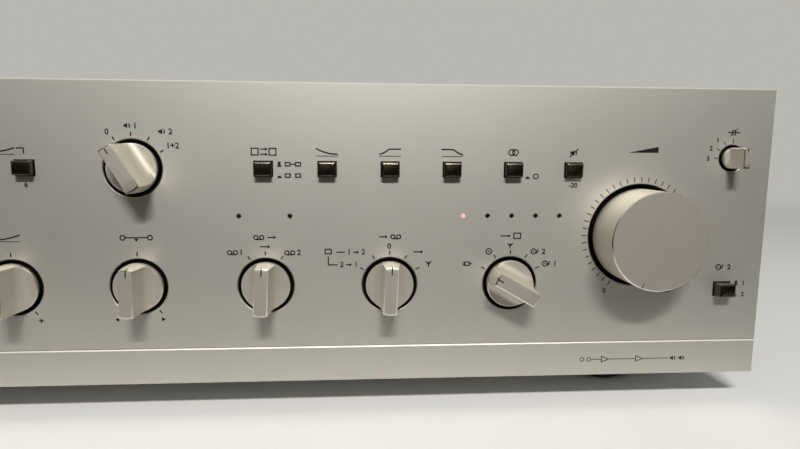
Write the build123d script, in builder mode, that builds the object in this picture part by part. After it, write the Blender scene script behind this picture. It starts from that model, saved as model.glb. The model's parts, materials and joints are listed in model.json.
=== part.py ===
"""Integrated stereo amplifier, built the way it comes apart on a bench.

Millimetres. +Z is up, the front panel looks along -Y and +X is to its right.
The origin lies under the middle of the amplifier, on the surface that its feet stand on.
Depths are counted backwards from the face of the front panel, heights up from its lower edge,
and a knob's turn is clockwise from twelve o'clock as seen from the front.
"""

from build123d import *
import os
from math import cos, radians, sin

os.makedirs("parts", exist_ok=True)

# ---------------------------------------------------------------- driving dimensions
panel_width = 440.0
panel_height = 120.0
panel_thickness = 5.0
panel_edge_bevel = 0.5
panel_overhang = 6.0
panel_drop = 1.5
panel_rise = 2.0

case_depth = 352.0
sheet = 1.2
lip_height = 12.0

foot_height = 14.5
foot_radius = 19.0
foot_inset_x = 46.0
foot_inset_front = 42.0
foot_inset_rear = 46.0
foot_pad_height = 2.5
foot_pad_radius = 14.0
foot_bevel = 1.2
foot_seat_height = 8.7
foot_recess_gap = 0.4
foot_screw_reach = 2.0

groove_height = 14.7
groove_upper = 0.30
groove_lower = 0.60
groove_depth = 0.55

# rows of the front panel, and columns counted inwards from its ends
margin_inset = 30.0
bass_inset = 88.95
tone_pitch = 47.3
function_inset = 108.25
volume_inset = 54.7
cap_trim_inset = 17.0
lower_row = 40.3
upper_row = 86.75
led_row = 68.25
cap_trim_row = 91.9
cartridge_row = 37.1
turnover_spread = 7.8
led_spacing = 9.9

# knobs with a bar
knob_height = 13.0
knob_radius = 9.6
knob_draft = 1.0
knob_disc_height = 1.2
bar_half_width = 2.65
bar_flank_draft = 3.4
bar_valley = 4.0
bar_bevel = 0.4
notch_width = 0.55
notch_depth = 0.4
notch_on_face = 2.2
notch_on_end = 2.6
boss_wall_small = 1.5
cut_over = 1.0

# volume knob
volume_height = 18.3
volume_radius = 19.3
volume_bevel = 0.5
volume_front_wall = 2.6
volume_side_wall = 2.2
volume_boss_wall = 3.0
volume_bore_end = 1.0
index_width = 0.5
index_depth = 0.25
index_length = 3.6

# cap trim knob
trim_height = 9.6
trim_radius = 4.3
trim_disc_height = 1.2
trim_half_width = 1.35
trim_valley = 1.6
trim_wall = 0.9

# knob wells, the black cups that the knobs turn in
well_gap_small = 1.6
well_gap_volume = 2.0
well_gap_trim = 1.2
well_wall = 0.4
well_floor = 0.8
well_setback = 0.45
hole_bevel = 0.35
knob_clearance = 0.7

# controls behind the panel
shaft_radius = 3.0
shaft_flat = 0.8
shaft_fit = 0.05
trim_shaft_radius = 1.5
trim_shaft_flat = 0.4
bush_radius = 4.4
trim_bush_radius = 2.4
bush_above_plate = 3.4
trim_bush_above_plate = 0.9
nut_flat = 11.0
nut_thickness = 2.0
hole_fit = 0.1
pot_radius = 12.0
pot_depth = 11.0
volume_pot_radius = 14.0
volume_pot_depth = 26.0
selector_side = 27.0
selector_corner = 4.0
selector_depth = 14.0
trim_switch_side = 12.0
trim_switch_depth = 9.0
shaft_in_body = 6.0
bore_past_disc = 1.5
shaft_end_room = 0.3

# push buttons
button_width = 6.7
button_tall = 5.4
button_height = 3.1
cartridge_button_height = 4.8
mute_latched_in = 0.8
button_face_inset = 0.5
button_slope = 0.25
button_gap = 0.12
frame_wall = 0.35
button_travel = 2.5
power_width = 17.0
power_tall = 8.6
power_height = 5.0
power_frame_wall = 1.0
cap_skirt = 2.2
stem_side = 3.0
stem_gap = 0.3
stem_window_gap = 0.6
stem_in_switch = 9.0
switch_width = 9.0
switch_tall = 8.0
switch_depth = 26.0
power_switch_width = 18.0
power_switch_tall = 16.0

# indicator lamps
led_radius = 0.9
led_hole_radius = 0.98
led_setback = 0.15
led_flange_radius = 1.7
led_flange = 1.0
led_dome = 0.35

# headphone socket
jack_bore_radius = 3.25
jack_nut_radius = 6.4
jack_nut_height = 1.8
jack_barrel_radius = 4.6
jack_bore_length = 30.0
jack_body_side = 15.0
jack_body_depth = 34.0

# mains transformer
core_width = 104.0
core_height = 84.0
core_stack = 46.0
core_limb = 18.0
core_yoke = 16.0
winding_clearance = 0.6
winding_overhang = 15.0
winding_round = 14.0
transformer_side_gap = 84.8
transformer_rear_gap = 125.0
clamp_foot = 12.0
clamp_thickness = 2.5

# main board and what stands on it
board_thickness = 1.6
board_standoff = 8.0
board_standoff_radius = 4.0
board_left_gap = 18.0
board_right_gap = 8.0
board_front_depth = 52.0
board_rear_gap = 118.0
board_edge_in = 7.0
capacitor_radius = 20.0
capacitor_height = 62.0
capacitor_round = 1.2
capacitor_pitch = 46.0
capacitor_left_gap = 26.0
capacitor_rear_gap = 61.0

# heat sink
sink_length = 176.0
sink_height = 82.0
sink_base = 6.0
fin_count = 15
fin_thickness = 2.0
fin_reach = 34.0
sink_right_gap = 24.8
sink_rear_gap = 101.0
transistor_width = 16.0
transistor_tall = 20.0
transistor_thickness = 5.0
transistor_pitch = 38.0
transistor_count = 4
transistor_rise = 45.0

# rear panel
phono_pitch_x = 16.5
phono_pitch_z = 18.5
phono_columns = 11
phono_flange_radius = 5.2
phono_flange = 1.2
phono_barrel_radius = 4.15
phono_barrel_length = 9.0
phono_hole_radius = 1.7
phono_hole_depth = 8.0
phono_lead_radius = 1.2
phono_lead_length = 7.0
jack_plate_thickness = 1.5
jack_plate_margin = 6.0
phono_right_inset = 21.0
phono_row = 84.0
terminal_width = 64.0
terminal_tall = 34.0
terminal_depth = 13.0
terminal_ear = 9.0
terminal_ear_thickness = 2.5
terminal_x = -20.0
terminal_row = 72.0
terminal_ways = 8
terminal_row_pitch = 17.0
terminal_mouth = 3.6
terminal_mouth_depth = 9.0
ground_post_x = 8.0
ground_post_row = 34.0
ground_post_radius = 3.8
ground_post_length = 8.5
ground_post_bevel = 0.5
ground_stud_radius = 2.0
inlet_inset = 28.0
inlet_row = 32.0
inlet_width = 28.0
inlet_tall = 21.0
inlet_rim_width = 50.0
inlet_rim_tall = 27.0
inlet_rim_thickness = 2.5
inlet_screw_pitch = 40.0
inlet_wall = 2.0
inlet_body_depth = 22.0
inlet_socket_depth = 16.0
inlet_pin_width = 2.0
inlet_pin_tall = 4.0
inlet_pin_length = 11.0
inlet_pin_spread = 7.0
inlet_earth_rise = 4.0

# top cover
slot_width = 3.0
slot_length = 46.0
slot_pitch = 7.5
slot_columns = 25
slot_rows = 3
slot_row_pitch = 58.0
slot_rear_gap = 125.0
cover_bend = 3.0

# screws
screw_radius = 1.5
screw_head_radius = 3.0
screw_head_height = 1.8
screw_length = 6.0
screw_slot_width = 0.8
screw_slot_depth = 0.8
screw_slot_length = 3.6
screw_head_round = 0.6
side_screw_rise = 7.2
flange_depth = 14.0
plate_screw_inset = 4.0
foot_screw_radius = 2.0
foot_screw_head_radius = 4.0
foot_screw_head_height = 2.4

# ---------------------------------------------------------------- derived places
case_half_width = panel_width / 2 - panel_overhang
inner_half_width = case_half_width - sheet
plate_depth = panel_thickness
plate_back = plate_depth + sheet
case_end = panel_thickness + case_depth
rear_inner = case_end - sheet
rear_reach = jack_plate_thickness + phono_flange + phono_barrel_length
terminal_reach = terminal_depth
overall_depth = volume_height + case_end + max(rear_reach, terminal_reach)
panel_face_y = volume_height - overall_depth / 2

panel_bottom = foot_height - panel_drop
panel_top = panel_bottom + panel_height
pan_bottom = foot_height
pan_top = pan_bottom + sheet
cover_top = panel_top - panel_rise
cover_under = cover_top - sheet

margin_x = margin_inset - panel_width / 2
bass_x = bass_inset - panel_width / 2
function_x = panel_width / 2 - function_inset
volume_x = panel_width / 2 - volume_inset
cap_trim_x = panel_width / 2 - cap_trim_inset
treble_x = bass_x + tone_pitch
balance_x = treble_x + tone_pitch
column_pitch = (function_x - balance_x) / 3
half_pitch = column_pitch / 2
tape_monitor_x = balance_x + column_pitch
tape_out_x = tape_monitor_x + column_pitch
cartridge_x = cap_trim_x

small_hole = knob_radius + well_gap_small
volume_hole = volume_radius + well_gap_volume
trim_hole = trim_radius + well_gap_trim
knob_back = panel_thickness - well_floor - knob_clearance
boss_back = panel_thickness - bush_above_plate - knob_clearance


def height(above_edge):
    """Z of a height above the lower edge of the front panel."""
    return panel_bottom + above_edge


def at_depth(depth):
    """Plane parallel to the front panel, looking forwards, so far behind its face."""
    return Plane(origin=(0, panel_face_y + depth, 0), x_dir=(1, 0, 0), z_dir=(0, -1, 0))


def facing_back(depth):
    """Plane parallel to the front panel, looking backwards, so far behind its face."""
    return Plane(origin=(0, panel_face_y + depth, 0), x_dir=(-1, 0, 0), z_dir=(0, 1, 0))


def turned(x, z, turn, depth):
    """Forward-looking plane centred on a knob and turned with it."""
    across = (cos(radians(turn)), 0, -sin(radians(turn)))
    return Plane(origin=(x, panel_face_y + depth, z), x_dir=across, z_dir=(0, -1, 0))


def bar_section(x, z, turn):
    """Plane square to a knob's bar: local X runs across the bar, local Y forwards."""
    across = (cos(radians(turn)), 0, -sin(radians(turn)))
    back_along = (-sin(radians(turn)), 0, -cos(radians(turn)))
    return Plane(origin=(x, panel_face_y, z), x_dir=across, z_dir=back_along)


def bar_side(x, z, turn):
    """Plane along a knob's bar: local X runs towards its pointer end, local Y forwards."""
    along = (sin(radians(turn)), 0, cos(radians(turn)))
    across = (cos(radians(turn)), 0, -sin(radians(turn)))
    return Plane(origin=(x, panel_face_y, z), x_dir=along, z_dir=across)


def level(z):
    """Horizontal plane at a height, looking up."""
    return Plane.XY.offset(z)


def flatted(radius, flat):
    """Circle with a flat cut off its upper side, for a shaft and for the bore that it drives."""
    with BuildSketch() as shape:
        Circle(radius)
        with Locations((0, 2 * radius - flat)):
            Rectangle(2 * radius, 2 * radius, mode=Mode.SUBTRACT)
    return shape.sketch


def save(piece, label):
    """Name a finished piece and write its STEP file."""
    piece.part.label = label
    export_step(piece.part, f"parts/{label}.step")


# name, x, z, rest turn of every knob with a bar
bar_knobs = [
    ("bass", bass_x, height(lower_row), 0.0),
    ("treble", treble_x, height(lower_row), 0.0),
    ("balance", balance_x, height(lower_row), 3.0),
    ("tape_monitor", tape_monitor_x, height(lower_row), 2.8),
    ("tape_out", tape_out_x, height(lower_row), 2.7),
    ("function", function_x, height(lower_row), -60.0),
    ("speakers", balance_x, height(upper_row), -31.0),
]
pots = ["bass", "treble", "balance"]
selectors = ["tape_monitor", "tape_out", "function", "speakers"]
places = {name: (x, z) for name, x, z, turn in bar_knobs}
volume_place = (volume_x, height(panel_height / 2))
volume_turn = -160.0
trim_place = (cap_trim_x, height(cap_trim_row))

# name, x, z, height when out and distance latched in of every small push button
small_buttons = [
    ("bass_turnover_low", bass_x - turnover_spread, height(upper_row), button_height, 0.0),
    ("bass_turnover_high", bass_x + turnover_spread, height(upper_row), button_height, 0.0),
    ("treble_turnover_low", treble_x - turnover_spread, height(upper_row), button_height, 0.0),
    ("treble_turnover_high", treble_x + turnover_spread, height(upper_row), button_height, 0.0),
    ("pre_out", tape_monitor_x, height(upper_row), button_height, 0.0),
    ("bass_contour", tape_monitor_x + half_pitch, height(upper_row), button_height, 0.0),
    ("subsonic", tape_monitor_x + 2 * half_pitch, height(upper_row), button_height, 0.0),
    ("high_cut", tape_monitor_x + 3 * half_pitch, height(upper_row), button_height, 0.0),
    ("mode", tape_monitor_x + 4 * half_pitch, height(upper_row), button_height, 0.0),
    ("mute", tape_monitor_x + 5 * half_pitch, height(upper_row), button_height, mute_latched_in),
    ("cartridge", cartridge_x, height(cartridge_row), cartridge_button_height, 0.0),
]
button_places = [(x, z) for name, x, z, front, latched_in in small_buttons]
power_place = (margin_x, height(upper_row))
jack_place = (margin_x, height(lower_row))

frame_width = button_width + 2 * (button_gap + frame_wall)
frame_tall = button_tall + 2 * (button_gap + frame_wall)
power_frame_width = power_width + 2 * (button_gap + power_frame_wall)
power_frame_tall = power_tall + 2 * (button_gap + power_frame_wall)

lit_led_place = (function_x - 2 * led_spacing, height(led_row))
dark_leds = [(tape_monitor_x - led_spacing, height(led_row)), (tape_monitor_x + led_spacing, height(led_row))]
dark_leds += [(function_x + step * led_spacing, height(led_row)) for step in (-1, 0, 1, 2)]

small_knob_places = list(places.values())
nutted_places = small_knob_places + [volume_place]

foot_places = [
    (side * (case_half_width - foot_inset_x), panel_face_y + depth)
    for side in (-1, 1)
    for depth in (foot_inset_front, case_end - foot_inset_rear)
]

# ---------------------------------------------------------------- front panel
with BuildPart() as front_panel:
    with BuildSketch(at_depth(panel_thickness)):
        with Locations((0, height(panel_height / 2))):
            Rectangle(panel_width, panel_height)
    extrude(amount=panel_thickness)
    chamfer(front_panel.faces().sort_by(Axis.Y)[0].edges(), panel_edge_bevel)
    with BuildSketch(at_depth(panel_thickness)):
        with Locations(*small_knob_places):
            Circle(small_hole)
        with Locations(volume_place):
            Circle(volume_hole)
        with Locations(trim_place):
            Circle(trim_hole)
    extrude(amount=panel_thickness, mode=Mode.SUBTRACT)
    hole_rims = front_panel.faces().sort_by(Axis.Y)[0].edges().filter_by(GeomType.CIRCLE)
    chamfer(hole_rims, hole_bevel)
    with BuildSketch(at_depth(panel_thickness)):
        with Locations(*button_places):
            Rectangle(frame_width, frame_tall)
        with Locations(power_place):
            Rectangle(power_frame_width, power_frame_tall)
        with Locations(lit_led_place, *dark_leds):
            Circle(led_hole_radius)
        with Locations(jack_place):
            Circle(jack_barrel_radius + hole_fit)
    extrude(amount=panel_thickness, mode=Mode.SUBTRACT)
    with BuildSketch(Plane.YZ):
        with BuildLine():
            Polyline(
                (panel_face_y, height(groove_height + groove_upper)),
                (panel_face_y + groove_depth, height(groove_height)),
                (panel_face_y, height(groove_height - groove_lower)),
                (panel_face_y - groove_depth, height(groove_height)),
                close=True,
            )
        make_face()
    extrude(amount=panel_width, both=True, mode=Mode.SUBTRACT)
save(front_panel, "front_panel")

# ---------------------------------------------------------------- case: plate, pan, rear panel, cover
wall_bottom = pan_top
wall_top = cover_under
wall_mid = (wall_bottom + wall_top) / 2
wall_tall = wall_top - wall_bottom
wall_half_width = inner_half_width - sheet

plate_window = stem_side + 2 * stem_window_gap
side_screw_z = pan_bottom + side_screw_rise
side_screw_depths = (
    plate_depth + flange_depth / 2 + sheet,
    (panel_thickness + case_end) / 2,
    case_end - flange_depth / 2 - sheet,
)
side_screw_places = [(panel_face_y + depth, side_screw_z) for depth in side_screw_depths]


with BuildPart() as side_drill:
    with BuildSketch(Plane.YZ):
        with Locations(*side_screw_places):
            Circle(screw_radius + hole_fit)
    extrude(amount=panel_width, both=True)


def flanges(depth):
    """Two flanges bent over at the sides of a wall, reaching back from a depth."""
    with BuildPart() as pair:
        with BuildSketch(at_depth(depth)):
            for side in (-1, 1):
                with Locations((side * (wall_half_width - sheet / 2), wall_mid)):
                    Rectangle(sheet, wall_tall - 2 * cover_bend)
        extrude(amount=-flange_depth)
    return pair.part


front_flanges = flanges(plate_back)
rear_flanges = flanges(rear_inner - flange_depth)


with BuildPart() as front_plate:
    with BuildSketch(at_depth(plate_back)) as wall:
        with Locations((0, wall_mid)):
            Rectangle(2 * wall_half_width, wall_tall)
        fillet(wall.vertices().group_by(Axis.Y)[-1], cover_bend)
        with Locations(*nutted_places):
            Circle(bush_radius + hole_fit, mode=Mode.SUBTRACT)
        with Locations(trim_place):
            Circle(trim_bush_radius + hole_fit, mode=Mode.SUBTRACT)
        with Locations(*button_places, power_place):
            Rectangle(plate_window, plate_window, mode=Mode.SUBTRACT)
        with Locations(lit_led_place, *dark_leds):
            Circle(led_hole_radius, mode=Mode.SUBTRACT)
        with Locations(jack_place):
            Circle(jack_barrel_radius + hole_fit, mode=Mode.SUBTRACT)
    extrude(amount=sheet)
    add(front_flanges)
    add(side_drill.part, mode=Mode.SUBTRACT)
save(front_plate, "front_plate")

transformer_x = transformer_side_gap - inner_half_width
board_left_x = transformer_x + core_width / 2 + board_left_gap
board_right_x = inner_half_width - board_right_gap
board_rear_depth = case_end - board_rear_gap
board_posts = [
    (x, panel_face_y + depth)
    for x in (board_left_x + board_edge_in, board_right_x - board_edge_in)
    for depth in (board_front_depth + board_edge_in, board_rear_depth - board_edge_in)
]

with BuildPart() as bottom_pan:
    with BuildSketch(at_depth(case_end)):
        with Locations((0, pan_bottom + sheet / 2)):
            Rectangle(2 * inner_half_width, sheet)
        for side in (-1, 1):
            with Locations((side * (inner_half_width - sheet / 2), pan_bottom + lip_height / 2)):
                Rectangle(sheet, lip_height)
    extrude(amount=case_end - plate_depth)
    with BuildSketch(level(pan_top)):
        with Locations(*board_posts):
            Circle(board_standoff_radius)
    extrude(amount=board_standoff)
    with BuildSketch(level(pan_top + board_standoff)):
        with Locations(*board_posts):
            Circle(screw_radius + hole_fit)
    extrude(amount=-screw_length, mode=Mode.SUBTRACT)
    with BuildSketch(level(pan_bottom)):
        with Locations(*foot_places):
            Circle(foot_screw_radius + hole_fit)
    extrude(amount=sheet, mode=Mode.SUBTRACT)
    add(side_drill.part, mode=Mode.SUBTRACT)
save(bottom_pan, "bottom_pan")

phono_right_x = case_half_width - phono_right_inset
phono_xs = [phono_right_x - column * phono_pitch_x for column in reversed(range(phono_columns))]
phono_zs = [height(phono_row) - phono_pitch_z, height(phono_row)]
phono_places = [(x, z) for x in phono_xs for z in phono_zs]
ground_place = (ground_post_x, height(ground_post_row))
terminal_place = (terminal_x - terminal_width / 2, height(terminal_row))
inlet_x = inlet_inset - case_half_width
inlet_place = (inlet_x, height(inlet_row))
jack_plate_width = (phono_columns - 1) * phono_pitch_x + 2 * (phono_flange_radius + jack_plate_margin)
jack_plate_tall = phono_pitch_z + 2 * (phono_flange_radius + jack_plate_margin)
jack_plate_place = ((phono_xs[0] + phono_xs[-1]) / 2, (phono_zs[0] + phono_zs[-1]) / 2)
jack_plate_screws = [
    (jack_plate_place[0] + side * (jack_plate_width / 2 - plate_screw_inset),
     jack_plate_place[1] + end * (jack_plate_tall / 2 - plate_screw_inset))
    for side in (-1, 1)
    for end in (-1, 1)
]
inlet_screws = [(inlet_x + side * inlet_screw_pitch / 2, inlet_place[1]) for side in (-1, 1)]
terminal_screws = [
    (terminal_place[0] + side * (terminal_width + terminal_ear) / 2, terminal_place[1]) for side in (-1, 1)
]
rear_screws = jack_plate_screws + inlet_screws + terminal_screws


def seen_from_behind(points):
    """The same places in a sketch that looks backwards."""
    return [(-x, z) for x, z in points]


with BuildPart() as rear_panel:
    with BuildSketch(facing_back(rear_inner)) as wall:
        with Locations((0, wall_mid)):
            Rectangle(2 * wall_half_width, wall_tall)
        fillet(wall.vertices().group_by(Axis.Y)[-1], cover_bend)
        with Locations(*seen_from_behind(phono_places)):
            Circle(phono_hole_radius + phono_lead_radius, mode=Mode.SUBTRACT)
        with Locations(*seen_from_behind([ground_place])):
            Circle(ground_stud_radius + hole_fit, mode=Mode.SUBTRACT)
        with Locations(*seen_from_behind([inlet_place])):
            Rectangle(inlet_width + 2 * hole_fit, inlet_tall + 2 * hole_fit, mode=Mode.SUBTRACT)
        with Locations(*seen_from_behind(rear_screws)):
            Circle(screw_radius + hole_fit, mode=Mode.SUBTRACT)
    extrude(amount=sheet)
    add(rear_flanges)
    add(side_drill.part, mode=Mode.SUBTRACT)
save(rear_panel, "rear_panel")

with BuildPart() as top_cover:
    with BuildSketch(at_depth(case_end)) as hood:
        with Locations((0, (cover_top + pan_bottom) / 2)):
            Rectangle(2 * case_half_width, cover_top - pan_bottom)
        fillet(hood.vertices().group_by(Axis.Y)[-1], cover_bend)
    extrude(amount=case_end - panel_thickness)
    with BuildSketch(at_depth(case_end)) as hollow:
        with Locations((0, (cover_under + pan_bottom) / 2)):
            Rectangle(2 * inner_half_width, cover_under - pan_bottom)
        fillet(hollow.vertices().group_by(Axis.Y)[-1], cover_bend - sheet)
    extrude(amount=case_end - panel_thickness, mode=Mode.SUBTRACT)
    with BuildSketch(level(cover_under)):
        with Locations((0, panel_face_y + case_end - slot_rear_gap)):
            with GridLocations(slot_pitch, slot_row_pitch, slot_columns, slot_rows):
                SlotOverall(slot_length, slot_width, rotation=90)
    extrude(amount=sheet, mode=Mode.SUBTRACT)
    add(side_drill.part, mode=Mode.SUBTRACT)
save(top_cover, "top_cover")

# ---------------------------------------------------------------- feet
foot_recess = foot_screw_head_radius + foot_recess_gap

with BuildPart() as feet:
    with BuildSketch(level(foot_pad_height)):
        with Locations(*foot_places):
            Circle(foot_radius)
    extrude(amount=foot_height - foot_pad_height)
    chamfer(feet.faces().filter_by(Axis.Z).group_by(Axis.Z)[0].edges(), foot_bevel)
    with BuildSketch(level(foot_pad_height)):
        with Locations(*foot_places):
            Circle(foot_recess)
    extrude(amount=foot_seat_height - foot_pad_height, mode=Mode.SUBTRACT)
    with BuildSketch(level(foot_seat_height)):
        with Locations(*foot_places):
            Circle(foot_screw_radius + hole_fit)
    extrude(amount=foot_height - foot_seat_height, mode=Mode.SUBTRACT)
save(feet, "feet")

with BuildPart() as foot_pads:
    with BuildSketch(level(0)):
        with Locations(*foot_places):
            Circle(foot_pad_radius)
            Circle(foot_recess, mode=Mode.SUBTRACT)
    extrude(amount=foot_pad_height)
save(foot_pads, "foot_pads")

with BuildPart() as foot_screws:
    with BuildSketch(level(foot_seat_height)):
        with Locations(*foot_places):
            Circle(foot_screw_head_radius)
    extrude(amount=-foot_screw_head_height)
    with BuildSketch(level(foot_seat_height)):
        with Locations(*foot_places):
            Circle(foot_screw_radius)
    extrude(amount=pan_top - foot_seat_height + foot_screw_reach)
save(foot_screws, "foot_screws")

# ---------------------------------------------------------------- knob wells


def well_cup(place, hole, floor_hole):
    """One black cup: a thin wall inside the panel's hole and a floor with the bush's hole."""
    with BuildPart() as cup:
        with BuildSketch(at_depth(panel_thickness)):
            with Locations(place):
                Circle(hole)
                Circle(floor_hole, mode=Mode.SUBTRACT)
        extrude(amount=well_floor)
        with BuildSketch(at_depth(panel_thickness - well_floor)):
            with Locations(place):
                Circle(hole)
                Circle(hole - well_wall, mode=Mode.SUBTRACT)
        extrude(amount=panel_thickness - well_floor - well_setback)
    return cup.part


nut_corner_radius = nut_flat / 2 / cos(radians(30))
nut_room = nut_corner_radius + 2 * hole_fit
cups = [well_cup(place, small_hole, nut_room) for place in small_knob_places]
cups.append(well_cup(volume_place, volume_hole, nut_room))
cups.append(well_cup(trim_place, trim_hole, trim_bush_radius + hole_fit))
with BuildPart() as knob_wells:
    add(cups)
save(knob_wells, "knob_wells")

# ---------------------------------------------------------------- knobs


def bar_knob(x, z, turn, radius, tall, disc, half_width, valley, bore_radius, flat, cavity_radius, boss_wall):
    """A turned knob with two long scoops that leave a pointer bar across a low disc."""
    skirt = knob_back
    web = disc / 2
    with BuildPart() as knob:
        with BuildSketch(turned(x, z, turn, 0)):
            Circle(radius)
        extrude(amount=tall, taper=knob_draft)
        with BuildSketch(turned(x, z, turn, skirt)):
            Circle(radius)
        extrude(amount=skirt)
        flank_foot = half_width + (tall - disc) * sin(radians(bar_flank_draft))
        flank_head = half_width - sin(radians(bar_flank_draft))
        with BuildSketch(bar_section(x, z, turn)) as scoops:
            for side in (-1, 1):
                with BuildLine():
                    Polyline(
                        (side * flank_head, tall + cut_over),
                        (side * flank_foot, disc),
                        (side * 2 * radius, disc),
                        (side * 2 * radius, tall + cut_over),
                        close=True,
                    )
                make_face()
            valley_corners = scoops.vertices().group_by(Axis.Y)[0].filter_by(lambda v: abs(v.X) < radius)
            fillet(valley_corners, valley)
        extrude(amount=2 * radius, both=True, mode=Mode.SUBTRACT)
        chamfer(knob.faces().sort_by(Axis.Y)[0].edges(), bar_bevel)
        end = radius - tall * sin(radians(knob_draft))
        with BuildSketch(bar_side(x, z, turn)):
            with BuildLine():
                Polyline(
                    (end - notch_on_face, tall + cut_over),
                    (end - notch_on_face, tall - notch_depth),
                    (end - notch_depth, tall - notch_depth),
                    (end - notch_depth, tall - notch_on_end),
                    (2 * radius, tall - notch_on_end),
                    (2 * radius, tall + cut_over),
                    close=True,
                )
            make_face()
        extrude(amount=notch_width / 2, both=True, mode=Mode.SUBTRACT)
        with BuildSketch(turned(x, z, turn, skirt)):
            Circle(cavity_radius)
        extrude(amount=skirt - boss_back, mode=Mode.SUBTRACT)
        with BuildSketch(turned(x, z, turn, boss_back)):
            Circle(cavity_radius)
            Circle(bore_radius + boss_wall, mode=Mode.SUBTRACT)
        extrude(amount=boss_back + web, mode=Mode.SUBTRACT)
        with BuildSketch(turned(x, z, turn, boss_back)):
            add(flatted(bore_radius, flat))
        extrude(amount=boss_back + disc + bore_past_disc, mode=Mode.SUBTRACT)
    return knob


for name, x, z, turn in bar_knobs:
    knob = bar_knob(
        x, z, turn, knob_radius, knob_height, knob_disc_height, bar_half_width, bar_valley,
        shaft_radius + shaft_fit, shaft_flat, nut_room + knob_clearance, boss_wall_small,
    )
    save(knob, f"{name}_knob")

trim_knob = bar_knob(
    *trim_place, 0.0, trim_radius, trim_height, trim_disc_height, trim_half_width, trim_valley,
    trim_shaft_radius + shaft_fit, trim_shaft_flat, trim_radius - trim_wall, trim_wall,
)
save(trim_knob, "cap_trim_knob")

with BuildPart() as volume_knob:
    x, z = volume_place
    with BuildSketch(turned(x, z, volume_turn, knob_back)):
        Circle(volume_radius)
    extrude(amount=knob_back + volume_height)
    chamfer(volume_knob.faces().sort_by(Axis.Y)[0].edges(), volume_bevel)
    with BuildSketch(turned(x, z, volume_turn, knob_back)):
        Circle(volume_radius - volume_side_wall)
    extrude(amount=knob_back + volume_height - volume_front_wall, mode=Mode.SUBTRACT)
    boss_length = boss_back + volume_height - volume_front_wall
    with BuildSketch(turned(x, z, volume_turn, boss_back)):
        Circle(shaft_radius + volume_boss_wall)
    extrude(amount=boss_length)
    with BuildSketch(turned(x, z, volume_turn, boss_back)):
        add(flatted(shaft_radius + shaft_fit, shaft_flat))
    extrude(amount=boss_length - volume_bore_end, mode=Mode.SUBTRACT)
    with BuildSketch(bar_side(x, z, volume_turn)):
        with BuildLine():
            Polyline(
                (volume_radius - index_length, volume_height + 1),
                (volume_radius - index_length, volume_height - index_depth),
                (volume_radius - volume_bevel - index_depth, volume_height - index_depth),
                (volume_radius - index_depth, volume_height - volume_bevel - index_depth),
                (volume_radius + 1, volume_height - volume_bevel - index_depth),
                (volume_radius + 1, volume_height + 1),
                close=True,
            )
        make_face()
    extrude(amount=index_width / 2, both=True, mode=Mode.SUBTRACT)
save(volume_knob, "volume_knob")

# ---------------------------------------------------------------- shafts, bushes, nuts, control bodies


def shaft(place, turn, radius, flat, front, flat_back):
    """A control shaft from inside its body to the knob, with a flat along the knob's part of it."""
    back = plate_back + shaft_in_body
    with BuildPart() as rod:
        with BuildSketch(turned(*place, turn, back)):
            Circle(radius)
        extrude(amount=back - flat_back)
        with BuildSketch(turned(*place, turn, flat_back)):
            add(flatted(radius, flat))
        extrude(amount=flat_back + front)
    return rod


bar_shaft_front = knob_disc_height + bore_past_disc - shaft_end_room
for name, x, z, turn in bar_knobs:
    save(shaft((x, z), turn, shaft_radius, shaft_flat, bar_shaft_front, boss_back), f"{name}_shaft")
trim_shaft_front = trim_disc_height + bore_past_disc - shaft_end_room
trim_shaft = shaft(trim_place, 0.0, trim_shaft_radius, trim_shaft_flat, trim_shaft_front, boss_back)
save(trim_shaft, "cap_trim_shaft")
volume_shaft_front = volume_height - volume_front_wall - volume_bore_end - shaft_end_room
volume_shaft = shaft(volume_place, volume_turn, shaft_radius, shaft_flat, volume_shaft_front, boss_back)
save(volume_shaft, "volume_shaft")

with BuildPart() as control_bushes:
    with BuildSketch(at_depth(plate_back)):
        with Locations(*nutted_places):
            Circle(bush_radius)
            Circle(shaft_radius + shaft_fit, mode=Mode.SUBTRACT)
    extrude(amount=sheet + bush_above_plate)
    with BuildSketch(at_depth(plate_back)):
        with Locations(trim_place):
            Circle(trim_bush_radius)
            Circle(trim_shaft_radius + shaft_fit, mode=Mode.SUBTRACT)
    extrude(amount=sheet + trim_bush_above_plate)
save(control_bushes, "control_bushes")

with BuildPart() as control_nuts:
    with BuildSketch(at_depth(plate_depth)):
        with Locations(*nutted_places):
            RegularPolygon(nut_flat / 2, 6, major_radius=False)
            Circle(bush_radius + shaft_fit, mode=Mode.SUBTRACT)
    extrude(amount=nut_thickness)
    with BuildSketch(at_depth(0)):
        with Locations(jack_place):
            Circle(jack_nut_radius)
            Circle(jack_barrel_radius + shaft_fit, mode=Mode.SUBTRACT)
    extrude(amount=jack_nut_height)
save(control_nuts, "control_nuts")


def shaft_bores(centres, radius):
    """The blind holes in the fronts of the control bodies, where the shafts turn."""
    with BuildPart() as drill:
        with BuildSketch(at_depth(plate_back)):
            with Locations(*centres):
                Circle(radius + shaft_fit)
        extrude(amount=-(shaft_in_body + shaft_end_room))
    return drill.part


pot_bores = shaft_bores([places[name] for name in pots] + [volume_place], shaft_radius)
selector_bores = shaft_bores([places[name] for name in selectors], shaft_radius)
trim_bore = shaft_bores([trim_place], trim_shaft_radius)


with BuildPart() as control_pots:
    with BuildSketch(at_depth(plate_back)):
        with Locations(*[places[name] for name in pots]):
            Circle(pot_radius)
    extrude(amount=-pot_depth)
    with BuildSketch(at_depth(plate_back)):
        with Locations(volume_place):
            Circle(volume_pot_radius)
    extrude(amount=-volume_pot_depth)
    add(pot_bores, mode=Mode.SUBTRACT)
save(control_pots, "control_pots")

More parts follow.
